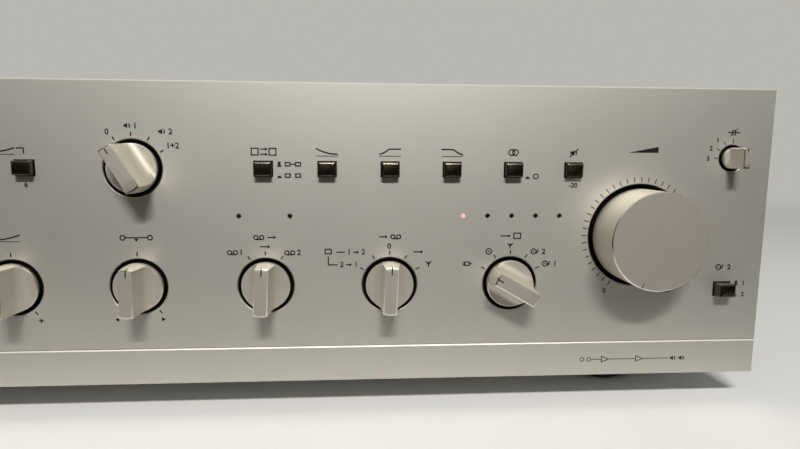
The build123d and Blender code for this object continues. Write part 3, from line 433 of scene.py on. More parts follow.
class Finish(Enum):
    """Every finish of the amplifier."""

    PANEL = Metal(
        "anodised_panel", (0.712, 0.688, 0.632), 0.58, grain=0.22, depth=0.005, drift=0.02, patch=30.0,
    )
    KNOB = Metal(
        "satin_knob", (0.655, 0.615, 0.54), 0.57, grain=0.16, depth=0.003, drift=0.02, patch=6.0,
        metallic=0.92,
    )
    POLISHED = Metal(
        "polished_rim", (0.93, 0.91, 0.87), 0.14, grain=0.2, depth=0.0005, drift=0.01, gloss_drift=0.02,
    )
    CUT = Metal("cut_edge", (0.90, 0.87, 0.81), 0.30, grain=0.2, depth=0.001, drift=0.01, gloss_drift=0.03)
    NICKEL = Metal("nickel_plate", (0.78, 0.74, 0.66), 0.22, grain=0.3, depth=0.002, drift=0.03, patch=5.0)
    ZINC = Metal("zinc_plate", (0.62, 0.62, 0.58), 0.34, grain=0.5, depth=0.004, drift=0.08, patch=12.0)
    STEEL = Metal("ground_steel", (0.60, 0.59, 0.57), 0.30, grain=0.15, stretch=6.0, depth=0.004, drift=0.04)
    STAMPED = Metal("stamped_steel", (0.50, 0.49, 0.45), 0.38, grain=0.4, depth=0.004, drift=0.08, patch=7.0)
    SCREW = Metal("black_zinc", (0.07, 0.07, 0.075), 0.34, grain=0.3, depth=0.004, drift=0.12, patch=3.0)
    SMOKE = Metal("smoked_chrome", (0.112, 0.096, 0.072), 0.28, grain=0.2, depth=0.002, drift=0.06, patch=4.0)
    IRON = Metal("varnished_iron", (0.17, 0.16, 0.15), 0.50, grain=0.35, depth=0.03, drift=0.15, patch=9.0)
    # Black of the knob wells; also used on the knobs' skirts below the panel's face as painted shade of the
    # gap round each knob.
    WELL_AND_SKIRT_SHADE = Plastic("well_black", (0.006, 0.006, 0.006), 0.75, specular=0.15)
    FRAME = Plastic("frame_black", (0.006, 0.006, 0.006), 0.6, grain=0.2, depth=0.003, specular=0.15)
    INK = Plastic("black_print", (0.008, 0.008, 0.007), 0.6, grain=0.15, depth=0.002, specular=0.2)
    GROOVE = Plastic("groove_black", (0.012, 0.011, 0.010), 0.6, grain=0.2, depth=0.003)
    COVER = Plastic(
        "textured_paint", (0.028, 0.028, 0.029), 0.46, grain=0.75, depth=0.06, drift=0.04, dust=0.03,
    )
    REAR = Plastic("satin_paint", (0.030, 0.030, 0.031), 0.42, grain=0.5, depth=0.02)
    WHITE_PRINT = Plastic("white_print", (0.72, 0.72, 0.70), 0.5, grain=0.2, depth=0.003)
    FOOT = Plastic("foot_plastic", (0.016, 0.016, 0.017), 0.5, grain=0.5, depth=0.03, dust=0.06)
    RUBBER = Plastic("foot_rubber", (0.020, 0.020, 0.021), 0.8, grain=0.6, depth=0.03, specular=0.25)
    SWITCH = Plastic("switch_body", (0.34, 0.32, 0.26), 0.45, grain=0.3)
    TAPE = Plastic("winding_tape", (0.52, 0.38, 0.12), 0.4, grain=0.8, depth=0.03)
    BOARD = Plastic("board_green", (0.055, 0.115, 0.050), 0.38, grain=1.2, depth=0.01)
    SLEEVE = Plastic("capacitor_sleeve", (0.018, 0.022, 0.055), 0.28, grain=0.8, depth=0.01, coat=0.3)
    SINK = Plastic("anodised_sink", (0.016, 0.016, 0.017), 0.4, grain=0.3, depth=0.006)
    EPOXY = Plastic("transistor_epoxy", (0.02, 0.02, 0.021), 0.5, grain=0.25, depth=0.006)
    PLATE = Plastic("jack_board", (0.020, 0.019, 0.018), 0.45, grain=0.4, depth=0.006)
    BLACK = Plastic("terminal_black", (0.014, 0.014, 0.014), 0.36, grain=0.35, depth=0.008)
    RED = Plastic("signal_red", (0.42, 0.018, 0.014), 0.34, grain=0.35, depth=0.008)
    WHITE = Plastic("signal_white", (0.70, 0.69, 0.65), 0.36, grain=0.35, depth=0.008)
    CERAMIC = Plastic("part_tan", (0.46, 0.33, 0.18), 0.5, grain=0.3, depth=0.01)
    LENS_DARK = Glow("lens_dark", (0.010, 0.006, 0.006), (0.02, 0.0, 0.0), 0.0)
    LENS_LIT = Glow("lens_lit", (0.45, 0.10, 0.09), (1.0, 0.52, 0.48), 1.0)


class Paintbox:
    """Makes each finish once, when it is first asked for."""

    def __init__(self) -> None:
        """Start with the shared effects and no materials."""
        self.effects = Effects()
        self.made: dict[Finish, bpy.types.Material] = {}

    def __call__(self, finish: Finish) -> bpy.types.Material:
        """Material of a finish."""
        if finish not in self.made:
            self.made[finish] = finish.value.make(self.effects)
        return self.made[finish]

    def turned(self, finish: Finish, x: float, z: float) -> bpy.types.Material:
        """A metal finish with lathe marks round a centre, in metres."""
        return finish.value.make(self.effects, rings=(x, z))


# ---- meshes


def circle(radius: float, h: float, count: int, phase: float = 0.0) -> Loop:
    """Points of a circle round the seat's axis."""
    turns = [phase + 2 * pi * i / count for i in range(count)]
    return [(radius * cos(a), radius * sin(a), h) for a in turns]


def rounded(half_u: float, half_v: float, corner: float, h: float, steps: int = 5) -> Loop:
    """Points of a rectangle with rounded corners, anticlockwise from its lower right corner."""
    loop = []
    corners = ((1, -1, -90), (1, 1, 0), (-1, 1, 90), (-1, -1, 180))
    for side_u, side_v, start in corners:
        centre = (side_u * (half_u - corner), side_v * (half_v - corner))
        for step in range(steps + 1):
            a = radians(start + 90 * step / steps)
            loop.append((centre[0] + corner * cos(a), centre[1] + corner * sin(a), h))
    return loop


def moved(loop: Loop, u: float, v: float) -> Loop:
    """The loop carried along by u and v."""
    return [(p[0] + u, p[1] + v, p[2]) for p in loop]


def slab(
    half_u: float, half_v: float, corners: tuple[float, float], back: float, front: float, bevel: float,
) -> list[Loop]:
    """A rounded slab with a bevel round its front face.

    Args:
        half_u: Half its width.
        half_v: Half its height.
        corners: Corner radius of its side and of its face.
        back: Where it starts.
        front: Where its face lies.
        bevel: Width of the bevel.

    Returns:
        Its loops, from the back outwards.
    """
    sides = [rounded(half_u, half_v, corners[0], h) for h in (back, front - bevel)]
    return sides + [rounded(half_u - bevel, half_v - bevel, corners[1], front)]


class Shell:
    """Vertices and faces of one mesh, gathered before they become an object."""

    def __init__(self) -> None:
        """Start empty."""
        self.points: list[Vector] = []
        self.faces: list[tuple[int, ...]] = []
        self.looks: list[int] = []

    def patch(
        self, seat: Seat, loops: Sequence[Loop], look: int | Callable[[Point], int] = 0, closed: bool = True,
    ) -> None:
        """Join loops of equal length one after another by quads.

        Args:
            seat: Where the loops' points are measured.
            loops: Anticlockwise loops as seen from outside, from the back outwards and then to the front.
            look: Material number, or a function that gives it for the middle of a face.
            closed: Whether each loop joins its end to its start.
        """
        base = len(self.points)
        count = len(loops[0])
        for loop in loops:
            self.points.extend(seat.at(p) for p in loop)
        columns = count if closed else count - 1
        for k in range(len(loops) - 1):
            for i in range(columns):
                j = (i + 1) % count
                corners = (loops[k][i], loops[k][j], loops[k + 1][j], loops[k + 1][i])
                near, far = base + k * count, base + (k + 1) * count
                self.faces.append((near + i, near + j, far + j, far + i))
                middle = tuple(sum(c[axis] for c in corners) / 4 for axis in range(3))
                self.looks.append(look(middle) if callable(look) else look)

    def cap(self, seat: Seat, loop: Loop, look: int = 0, turned_over: bool = False) -> None:
        """Close a loop by one flat face."""
        base = len(self.points)
        self.points.extend(seat.at(p) for p in loop)
        numbers = tuple(range(base, base + len(loop)))
        self.faces.append(numbers[::-1] if turned_over else numbers)
        self.looks.append(look)

    def solid(self, seat: Seat, loops: Sequence[Loop], look: int = 0) -> None:
        """A closed solid: its first loop is its back and its last loop is its front."""
        self.cap(seat, loops[0], look, turned_over=True)
        self.patch(seat, loops, look)
        self.cap(seat, loops[-1], look)

    def add_mesh(self, seat: Seat, mesh: bpy.types.Mesh, look: int = 0) -> None:
        """Add a mesh whose X, Y and Z are the seat's u, v and h in millimetres."""
        base = len(self.points)
        self.points.extend(seat.at(tuple(v.co)) for v in mesh.vertices)
        for face in mesh.polygons:
            self.faces.append(tuple(base + i for i in face.vertices))
            self.looks.append(look)

    def build(
        self, name: str, materials: Sequence[bpy.types.Material], smooth: bool = True,
    ) -> bpy.types.Object:
        """Turn the shell into an object at the origin.

        Args:
            name: The piece's name.
            materials: Its materials, in the order of the shell's material numbers.
            smooth: Whether faces that meet at a small angle are shaded as one.

        Returns:
            The object, in the scene.
        """
        mesh = bpy.data.meshes.new(name)
        mesh.from_pydata([tuple(p) for p in self.points], [], self.faces)
        for material in materials:
            mesh.materials.append(material)
        mesh.polygons.foreach_set("material_index", self.looks)
        work = bmesh.new()
        work.from_mesh(mesh)
        bmesh.ops.remove_doubles(work, verts=work.verts, dist=0.002 * MM)
        bmesh.ops.dissolve_degenerate(work, edges=work.edges, dist=0.001 * MM)
        work.to_mesh(mesh)
        work.free()
        if smooth:
            mesh.polygons.foreach_set("use_smooth", [True] * len(mesh.polygons))
            mesh.set_sharp_from_angle(angle=SHARP_ANGLE)
        piece = bpy.data.objects.new(name, mesh)
        bpy.context.scene.collection.objects.link(piece)
        return piece


def settle(piece: bpy.types.Object, body: str, slot: str, *nodes: str) -> bpy.types.Object:
    """Put a finished piece on its body and say what it stands for.

    Args:
        piece: The finished piece.
        body: The body that it moves with.
        slot: The record's material slot; not used.
        nodes: Construction nodes that it replaces.

    Returns:
        The piece.
    """
    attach(piece, body)
    if nodes:
        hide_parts(*nodes)
    log.info("%s rides on %s, %d faces", piece.name, body, len(piece.data.polygons))
    return piece


def dress(frame: dict, node: str, material: bpy.types.Material) -> None:
    """Give a construction node that stays in view its finish."""
    piece = frame["nodes"][node]
    for slot in piece.material_slots:
        slot.material = material
    log.info("%s keeps its construction mesh, in %s", node, material.name)


# ---- geometry node trees


class Growth(Wiring):
    """A Geometry Nodes tree with named inputs, and the plain mesh that it makes."""

    def __init__(self, name: str, sockets: dict[str, str]) -> None:
        """Make the tree.

        Args:
            name: Its name.
            sockets: Type of each named input.
        """
        super().__init__(bpy.data.node_groups.new(name, "GeometryNodeTree"))
        self.tree.interface.new_socket("Geometry", in_out="INPUT", socket_type="NodeSocketGeometry")
        for label, kind in sockets.items():
            self.tree.interface.new_socket(label, in_out="INPUT", socket_type=f"NodeSocket{kind}")
        self.tree.interface.new_socket("Geometry", in_out="OUTPUT", socket_type="NodeSocketGeometry")
        self.given = self.tree.nodes.new("NodeGroupInput").outputs
        self.leave = self.tree.nodes.new("NodeGroupOutput").inputs

    def fitting(self) -> Socket:
        """Geometry of the fitting that the tree is given."""
        return self.node("GeometryNodeObjectInfo", Object=self.given["Fitting"]).outputs["Geometry"]

    def copies(self, points: Socket, piece: Socket, **given: Socket) -> None:
        """Set a piece on each point and end the tree: real geometry with its material."""
        spread = self.node("GeometryNodeInstanceOnPoints", Points=points, Instance=piece, **given)
        real = self.node("GeometryNodeRealizeInstances", Geometry=spread.outputs[0])
        paint = self.node("GeometryNodeSetMaterial", Geometry=real.outputs[0], Material=self.given["Finish"])
        self.feed(self.leave[0], paint.outputs[0])

    def run(self, seeds: bpy.types.Mesh, values: dict[str, object]) -> bpy.types.Mesh:
        """Run the tree on a mesh.

        Args:
            seeds: The mesh that the tree starts from.
            values: Value of each named input.

        Returns:
            The plain mesh that it makes.
        """
        holder = bpy.data.objects.new("holder", seeds)
        bpy.context.scene.collection.objects.link(holder)
        modifier = holder.modifiers.new("growth", "NODES")
        modifier.node_group = self.tree
        for item in self.tree.interface.items_tree:
            if item.in_out == "INPUT" and item.name in values:
                modifier[item.identifier] = values[item.name]
        graph = bpy.context.evaluated_depsgraph_get()
        mesh = bpy.data.meshes.new_from_object(holder.evaluated_get(graph), depsgraph=graph)
        bpy.data.objects.remove(holder)
        mesh.materials.clear()
        mesh.materials.append(values["Finish"])
        mesh.polygons.foreach_set("material_index", [0] * len(mesh.polygons))
        return mesh


class ScaleTree(Growth):
    """Printed ticks along an arc round a centre on the front panel."""

    def __init__(self) -> None:
        """Build the tree."""
        numbers = dict.fromkeys(("Inner", "Outer", "Width", "Thickness", "First", "Last"), "Float")
        super().__init__("scale_ticks", {"Count": "Int", "Centre": "Vector", **numbers, "Finish": "Material"})
        given = self.given
        line = self.node("GeometryNodeMeshLine", Offset=(0, 0, 0), Count=given["Count"])
        index = self.node("GeometryNodeInputIndex").outputs[0]
        share = self.math("DIVIDE", index, self.math("SUBTRACT", given["Count"], 1.0))
        sweep = self.math("SUBTRACT", given["Last"], given["First"])
        angle = self.math("ADD", self.math("MULTIPLY", share, sweep), given["First"])
        radius = self.math("MULTIPLY", self.math("ADD", given["Inner"], given["Outer"]), 0.5)
        across, up = (self.math("MULTIPLY", self.math(wave, angle), radius) for wave in ("SINE", "COSINE"))
        spot = self.node("ShaderNodeCombineXYZ", X=across, Z=up).outputs[0]
        away = self.vector("ADD", spot, given["Centre"])
        points = self.node("GeometryNodeSetPosition", Geometry=line.outputs[0], Position=away.outputs[0])
        length = self.math("SUBTRACT", given["Outer"], given["Inner"])
        size = self.node("ShaderNodeCombineXYZ", X=given["Width"], Y=given["Thickness"], Z=length)
        tick = self.node("GeometryNodeMeshCube", Size=size.outputs[0])
        turn = self.node("ShaderNodeCombineXYZ", Y=angle)
        self.copies(points.outputs[0], tick.outputs[0], Rotation=turn.outputs[0])


class FittingTree(Growth):
    """Copies of one fitting, one on each point, turned as the point's aim says."""

    def __init__(self) -> None:
        """Build the tree."""
        super().__init__("fittings", {"Fitting": "Object", "Size": "Float", "Finish": "Material"})
        aim = self.node("GeometryNodeInputNamedAttribute", data_type="FLOAT_VECTOR", Name="aim")
        size = self.given["Size"]
        self.copies(self.given["Geometry"], self.fitting(), Rotation=aim.outputs["Attribute"], Scale=size)

    def on(
        self, places: Sequence[Vector], aims: Sequence[Point], fitting: bpy.types.Object,
        finish: bpy.types.Material,
    ) -> bpy.types.Mesh:
        """Set a fitting on each place, and remove the one that was copied.

        Args:
            places: Points in metres.
            aims: Rotation of each copy, as XYZ angles in radians.
            fitting: The fitting to copy.
            finish: Its material.

        Returns:
            The plain mesh of all the copies.
        """
        seeds = bpy.data.meshes.new("spots")
        seeds.from_pydata([tuple(p) for p in places], [], [])
        aim = seeds.attributes.new("aim", "FLOAT_VECTOR", "POINT")
        aim.data.foreach_set("vector", [value for one in aims for value in one])
        mesh = self.run(seeds, {"Fitting": fitting, "Size": 1.0, "Finish": finish})
        bpy.data.objects.remove(fitting)
        return mesh


class StackTree(Growth):
    """Sheets stacked along Y at an even pitch."""

    def __init__(self) -> None:
        """Build the tree."""
        super().__init__(
            "sheet_stack", {"Fitting": "Object", "Count": "Int", "Pitch": "Float", "Finish": "Material"},
        )
        step = self.node("ShaderNodeCombineXYZ", Y=self.given["Pitch"])
        line = self.node("GeometryNodeMeshLine", Count=self.given["Count"], Offset=step.outputs[0])
        self.copies(line.outputs[0], self.fitting())


class ScatterTree(Growth):
    """Small parts scattered over a surface, turned by quarter turns, from a fixed seed."""

    def __init__(self) -> None:
        """Build the tree."""
        sockets = {
            "Fitting": "Object", "Spacing": "Float", "Density": "Float", "Seed": "Int", "Finish": "Material",
        }
        super().__init__("scattered_parts", sockets)
        given = self.given
        points = self.node(
            "GeometryNodeDistributePointsOnFaces", distribute_method="POISSON", Mesh=given["Geometry"],
            Distance_Min=given["Spacing"], Density_Max=given["Density"], Seed=given["Seed"],
        )
        quarter = self.node("FunctionNodeRandomValue", data_type="INT", Min=0, Max=3, Seed=given["Seed"])
        chosen = next(socket for socket in quarter.outputs if socket.enabled)
        turn = self.node("ShaderNodeCombineXYZ", Z=self.math("MULTIPLY", chosen, pi / 2))
        self.copies(points.outputs["Points"], self.fitting(), Rotation=turn.outputs[0])


def plain(name: str, mesh: bpy.types.Mesh, smooth: bool = True) -> bpy.types.Object:
    """A grown mesh as a piece at the origin."""
    mesh.name = name
    if smooth:
        mesh.polygons.foreach_set("use_smooth", [True] * len(mesh.polygons))
        mesh.set_sharp_from_angle(angle=SHARP_ANGLE)
    piece = bpy.data.objects.new(name, mesh)
    bpy.context.scene.collection.objects.link(piece)
    return piece


def joined(name: str, meshes: Sequence[bpy.types.Mesh]) -> bpy.types.Object:
    """Several meshes of one material as one piece."""
    work = bmesh.new()
    for mesh in meshes:
        work.from_mesh(mesh)
    whole = bpy.data.meshes.new(name)
    work.to_mesh(whole)
    work.free()
    whole.materials.append(meshes[0].materials[0])
    return plain(name, whole)


# ---- knobs


@dataclass(frozen=True)
class BarKnob:
    """A turned knob whose two long scoops leave a pointer bar across a low disc."""

    name: str
    turn: float = 0.0
    radius: float = 9.6
    height: float = 13.0
    draft: float = 1.0
    disc: float = 1.2
    half_width: float = 2.65
    flank_draft: float = 3.4
    valley: float = 4.0
    bevel: float = 0.4
    end_inset: float = 0.7
    end_depth: float = 0.3
    rim: float = 0.18
    notch_half: float = 0.27
    notch_depth: float = 0.38
    notch_on_face: float = 2.2
    notch_on_end: float = 2.6
    skirt: float = 3.5
    cavity: float = 7.25
    boss: float = 4.55
    bore: float = 3.05
    bore_end: float = 2.7

    def wall(self, h: float) -> float:
        """Radius of the tapered wall at a height."""
        return self.radius - max(0.0, h) * tan(radians(self.draft))

    def flank(self, h: float) -> float:
        """Half the bar's width at a height, away from its bevel."""
        return self.half_width + (self.height - h) * sin(radians(self.flank_draft))

    def profile(self) -> list[tuple[float, float]]:
        """Outline across the bar from its middle to the rim of the disc, as u and h."""
        lean = radians(self.flank_draft)
        foot = self.flank(self.disc)
        reach = self.valley / tan((pi / 2 + lean) / 2)
        centre = (foot + reach, self.disc + self.valley)
        half = self.notch_half
        points = [(0.0, self.height), (half - 0.04, self.height), (half, self.height)]
        edge = self.flank(self.height) - self.bevel
        points += [(half + (edge - half) * k / 4, self.height) for k in range(1, 5)]
        top = self.height - self.bevel
        points.append((self.flank(top), top))
        low = centre[1] + self.valley * sin(pi + lean)
        points += [(self.flank(top + (low - top) * k / 8), top + (low - top) * k / 8) for k in range(1, 8)]
        for k in range(17):
            a = pi + lean + (pi / 2 - lean) * k / 16
            points.append((centre[0] + self.valley * cos(a), centre[1] + self.valley * sin(a)))
        rim = self.wall(self.disc - self.rim) - self.rim
        start = acos(points[-1][0] / rim)
        points += [(rim * cos(start * (1 - k / 18)), self.disc) for k in range(1, 19)]
        return points

    def look(self, middle: Point) -> int:
        """Material number of a face by its middle: body, cut edge, notch, or the skirt below the panel's
        face, which is painted black as painted shade of the gap.
        """
        u, v, h = middle
        # Painted shade: faces below the panel's face are painted black, so the gap round the knob looks as
        # dark as deep shade.
        if h < -0.01:
            return 3
        in_notch = abs(u) < self.notch_half and v > 0 and h > self.height - self.notch_on_end
        end = self.wall(self.height)
        if in_notch and v > end - self.notch_on_face:
            return 2
        if self.height - self.bevel < h < self.height - 0.02:
            return 1
        near_rim = sqrt(u * u + v * v) > self.wall(self.disc) - self.rim
        return 1 if near_rim and self.disc - self.rim < h < self.disc - 0.01 else 0

    def sink_notch(self, point: Point) -> Point:
        """The point, let into the notch where it lies in it."""
        u, v, h = point
        end = self.wall(self.height) - self.bevel
        aside = abs(u) > self.notch_half - 0.02 or v < end - self.notch_on_face + 0.03
        if aside or h < self.height - self.notch_on_end:
            return point
        return (u, min(v, self.wall(self.height) - self.notch_depth), min(h, self.height - self.notch_depth))

    def build(self, paint: Paintbox) -> None:
        """Make the knob in its place and put it on its body."""
        place = Span.of(f"{self.name}_shaft").centre
        seat = Seat.front(place.x, Span.of("front_panel").low.y, place.z, self.turn)
        half = self.profile()
        rows = [(-u, h) for u, h in reversed(half[1:])] + half
        grid = []
        for u, h in rows:
            on_bar = h > self.height - self.bevel
            inset, depth = (self.end_inset, self.end_depth) if on_bar else (self.rim, self.rim)
            reach = sqrt(max(0.0, (self.wall(h - depth) - inset) ** 2 - u * u))
            mark = reach - self.notch_on_face
            stops = [-reach, -reach / 2, 0.0, mark, mark + 0.04, reach - 0.6, reach]
            if reach < 2 * self.notch_on_face:
                stops = [reach * (k / 3 - 1) for k in range(7)]
            grid.append([self.sink_notch((u, v, h)) for v in stops])
        shell = Shell()
        columns = [[row[k] for row in grid] for k in range(len(grid[0]))]
        for low, high in zip(columns[:-1], columns[1:]):
            shell.patch(seat, [low, high], self.look, closed=False)
        edge = columns[-1][::-1] + columns[0][1:-1]
        rings = [edge]
        foot = self.height - self.notch_on_end
        levels = [self.height - self.end_depth, foot + 0.02, foot - 0.02, 0.0]
        for k, level in enumerate(levels):
            ring = []
            for u, v, h in edge:
                a = atan2(v, u)
                on_bar = h > self.height - self.bevel - 0.5 and abs(u) < self.half_width - 0.3
                drop = self.end_depth if on_bar else self.rim
                at = min(level, h - (drop if k == 0 else self.rim)) if level > 0 else 0.0
                at = min(at, h - self.rim)
                ring.append(self.sink_notch((self.wall(at) * cos(a), self.wall(at) * sin(a), at)))
            rings.append(ring)
        turns = [atan2(v, u) for u, v, h in edge]
        half_disc = self.disc / 2
        back = [(self.radius, -self.skirt), (self.cavity, -self.skirt), (self.cavity, half_disc)]
        back += [
            (self.boss, half_disc), (self.boss, -half_disc), (self.bore, -half_disc),
            (self.bore, self.bore_end),
        ]
        rings += [[(r * cos(a), r * sin(a), h) for a in turns] for r, h in back]
        shell.patch(seat, rings[::-1], self.look)
        shell.cap(seat, rings[-1], turned_over=True)
        metal = paint.turned(Finish.KNOB, place.x * MM, place.z * MM)
        # The fourth finish is painted shade on the skirt below the panel's face.
        looks = [metal, paint(Finish.CUT), paint(Finish.GROOVE), paint(Finish.WELL_AND_SKIRT_SHADE)]
        piece = shell.build(f"{self.name}_knob_turned", looks)
        settle(piece, self.name, "knob_metal", f"{self.name}_knob")


@dataclass(frozen=True)
class VolumeKnob:
    """The large plain knob, with a bright cut edge and a fine index line."""

    name: str = "volume"
    turn: float = -160.0
    radius: float = 19.3
    height: float = 18.3
    bevel: float = 0.36
    front_wall: float = 2.6
    side_wall: float = 2.2
    skirt: float = 3.5
    boss: float = 6.0
    bore: float = 3.05
    bore_end: float = 14.7
    index_half: float = 0.17
    index_depth: float = 0.2
    index_length: float = 2.4
    segments: int = 144

    def turns(self) -> list[float]:
        """Angles of the mesh's columns, with close pairs on both sides of the index line."""
        half = self.index_half / self.radius
        even = [pi / 2 + 2 * pi * k / self.segments for k in range(1, self.segments)]
        return [pi / 2 - half * 1.12, pi / 2 - half, pi / 2, pi / 2 + half, pi / 2 + half * 1.12] + even[1:-1]

    def ring(self, radius: float, h: float) -> Loop:
        """One loop of the knob, let in where the index line runs."""
        loop = []
        near = radius > self.radius - self.index_length and h > self.height - self.bevel - 0.4
        cut = self.index_depth if near else 0.0
        for a in self.turns():
            inside = cut and abs(a - pi / 2) < self.index_half * 1.05 / self.radius
            r = min(radius, self.radius - self.index_depth) if inside else radius
            loop.append((r * cos(a), r * sin(a), h - cut if inside else h))
        return loop

    def look(self, middle: Point) -> int:
        """Material number of a face by its middle: body, cut edge, index, or the skirt below the panel's
        face, which is painted black as painted shade of the gap.
        """
        u, v, h = middle
        # Painted shade: faces below the panel's face are painted black, so the gap round the knob looks as
        # dark as deep shade.
        if h < -0.01:
            return 3
        in_line = v > self.radius - self.index_length and abs(u) < self.index_half
        if in_line and h > self.height - self.bevel - 0.5:
            return 2
        return 1 if self.height - self.bevel < h < self.height - 0.02 else 0

    def build(self, paint: Paintbox) -> None:
        """Make the knob in its place and put it on its body."""
        place = Span.of(f"{self.name}_shaft").centre
        seat = Seat.front(place.x, Span.of("front_panel").low.y, place.z, self.turn)
        inner = self.radius - self.side_wall
        web = self.height - self.front_wall
        shoulder = self.height - self.bevel
        outline = [(0.01, self.bore_end), (self.bore, self.bore_end), (self.bore, -0.9), (self.boss, -0.9)]
        outline += [(self.boss, web), (inner, web), (inner, -self.skirt), (self.radius, -self.skirt)]
        outline += [(self.radius, h) for h in (0.0, shoulder - 0.41, shoulder - 0.38, shoulder)]
        mark = self.radius - self.index_length
        outline += [(r, self.height) for r in (self.radius - self.bevel, mark + 0.05, mark, mark / 2, 0.01)]
        loops = [self.ring(r, h) for r, h in outline]
        shell = Shell()
        shell.cap(seat, loops[0], turned_over=True)
        shell.patch(seat, loops, self.look)
        shell.cap(seat, loops[-1])
        metal = paint.turned(Finish.KNOB, place.x * MM, place.z * MM)
        # The fourth finish is painted shade on the skirt below the panel's face.
        looks = [metal, paint(Finish.POLISHED), paint(Finish.SMOKE), paint(Finish.WELL_AND_SKIRT_SHADE)]
        piece = shell.build("volume_knob_turned", looks)
        settle(piece, self.name, "knob_metal", "volume_knob")


class Knobs:
    """Every knob of the front panel."""

    bars = (
        BarKnob("bass"),
        BarKnob("treble"),
        BarKnob("balance", 3.0),
        BarKnob("tape_monitor", 2.8),
        BarKnob("tape_out", 2.7),
        BarKnob("function", -60.0),
        BarKnob("speakers", -31.0),
        BarKnob(
            "cap_trim", 0.0, radius=4.3, height=9.6, disc=1.2, half_width=1.35, valley=1.6, bevel=0.3,
            cavity=3.4, boss=2.45, bore=1.55, bore_end=2.7, notch_on_face=1.5, notch_on_end=1.6,
        ),
    )

    def build(self, paint: Paintbox) -> None:
        """Make all the knobs."""
        for knob in self.bars:
            knob.build(paint)
        VolumeKnob().build(paint)


# ---- push buttons


@dataclass(frozen=True)
class PushButton:
    """A moulded cap with sloped edges, and the stem that works its switch."""

    name: str
    half_u: float = 3.35
    half_v: float = 2.7
    reach: float = 3.1
    latched_in: float = 0.0
    slope: float = 0.25
    inset: float = 0.5
    skirt: float = 2.2
    stem: float = 1.5
    stem_end: float = 15.2
    corner: float = 0.22
    lip: float = 0.05

    def build(self, paint: Paintbox) -> None:
        """Make the cap in its place and put it on its body."""
        box = Span.of(f"{self.name}_button")
        seat = Seat.front(box.centre.x, Span.of("front_panel").low.y, box.centre.z)
        foot = self.reach - self.slope
        outline = [(self.stem, self.stem, -self.stem_end), (self.stem, self.stem, -self.skirt)]
        outline += [(self.half_u, self.half_v, -self.skirt), (self.half_u, self.half_v, foot - self.lip)]
        outline += [(self.half_u - self.lip, self.half_v - self.lip, foot)]
        outline += [(self.half_u - self.inset, self.half_v - self.inset, self.reach - self.lip / 2)]
        outline += [(self.half_u - self.inset - self.lip, self.half_v - self.inset - self.lip, self.reach)]
        loops = [rounded(u, v, self.corner, h - self.latched_in, 4) for u, v, h in outline]
        shell = Shell()
        shell.solid(seat, loops)
        piece = shell.build(f"{self.name}_cap", [paint(Finish.SMOKE)])
        settle(piece, self.name, "button_smoke", f"{self.name}_button")


class Buttons:
    """The small push buttons and the power button."""

    small = (
        "bass_turnover_low", "bass_turnover_high", "treble_turnover_low", "treble_turnover_high",
        "pre_out", "bass_contour", "subsonic", "high_cut", "mode",
    )

    def build(self, paint: Paintbox) -> None:
        """Make all the buttons."""
        for name in self.small:
            PushButton(name).build(paint)
        PushButton("mute", latched_in=0.8).build(paint)
        PushButton("cartridge", reach=4.8).build(paint)
        PushButton("power", half_u=8.5, half_v=4.3, reach=5.0, corner=0.4).build(paint)


# ---- print on the front panel


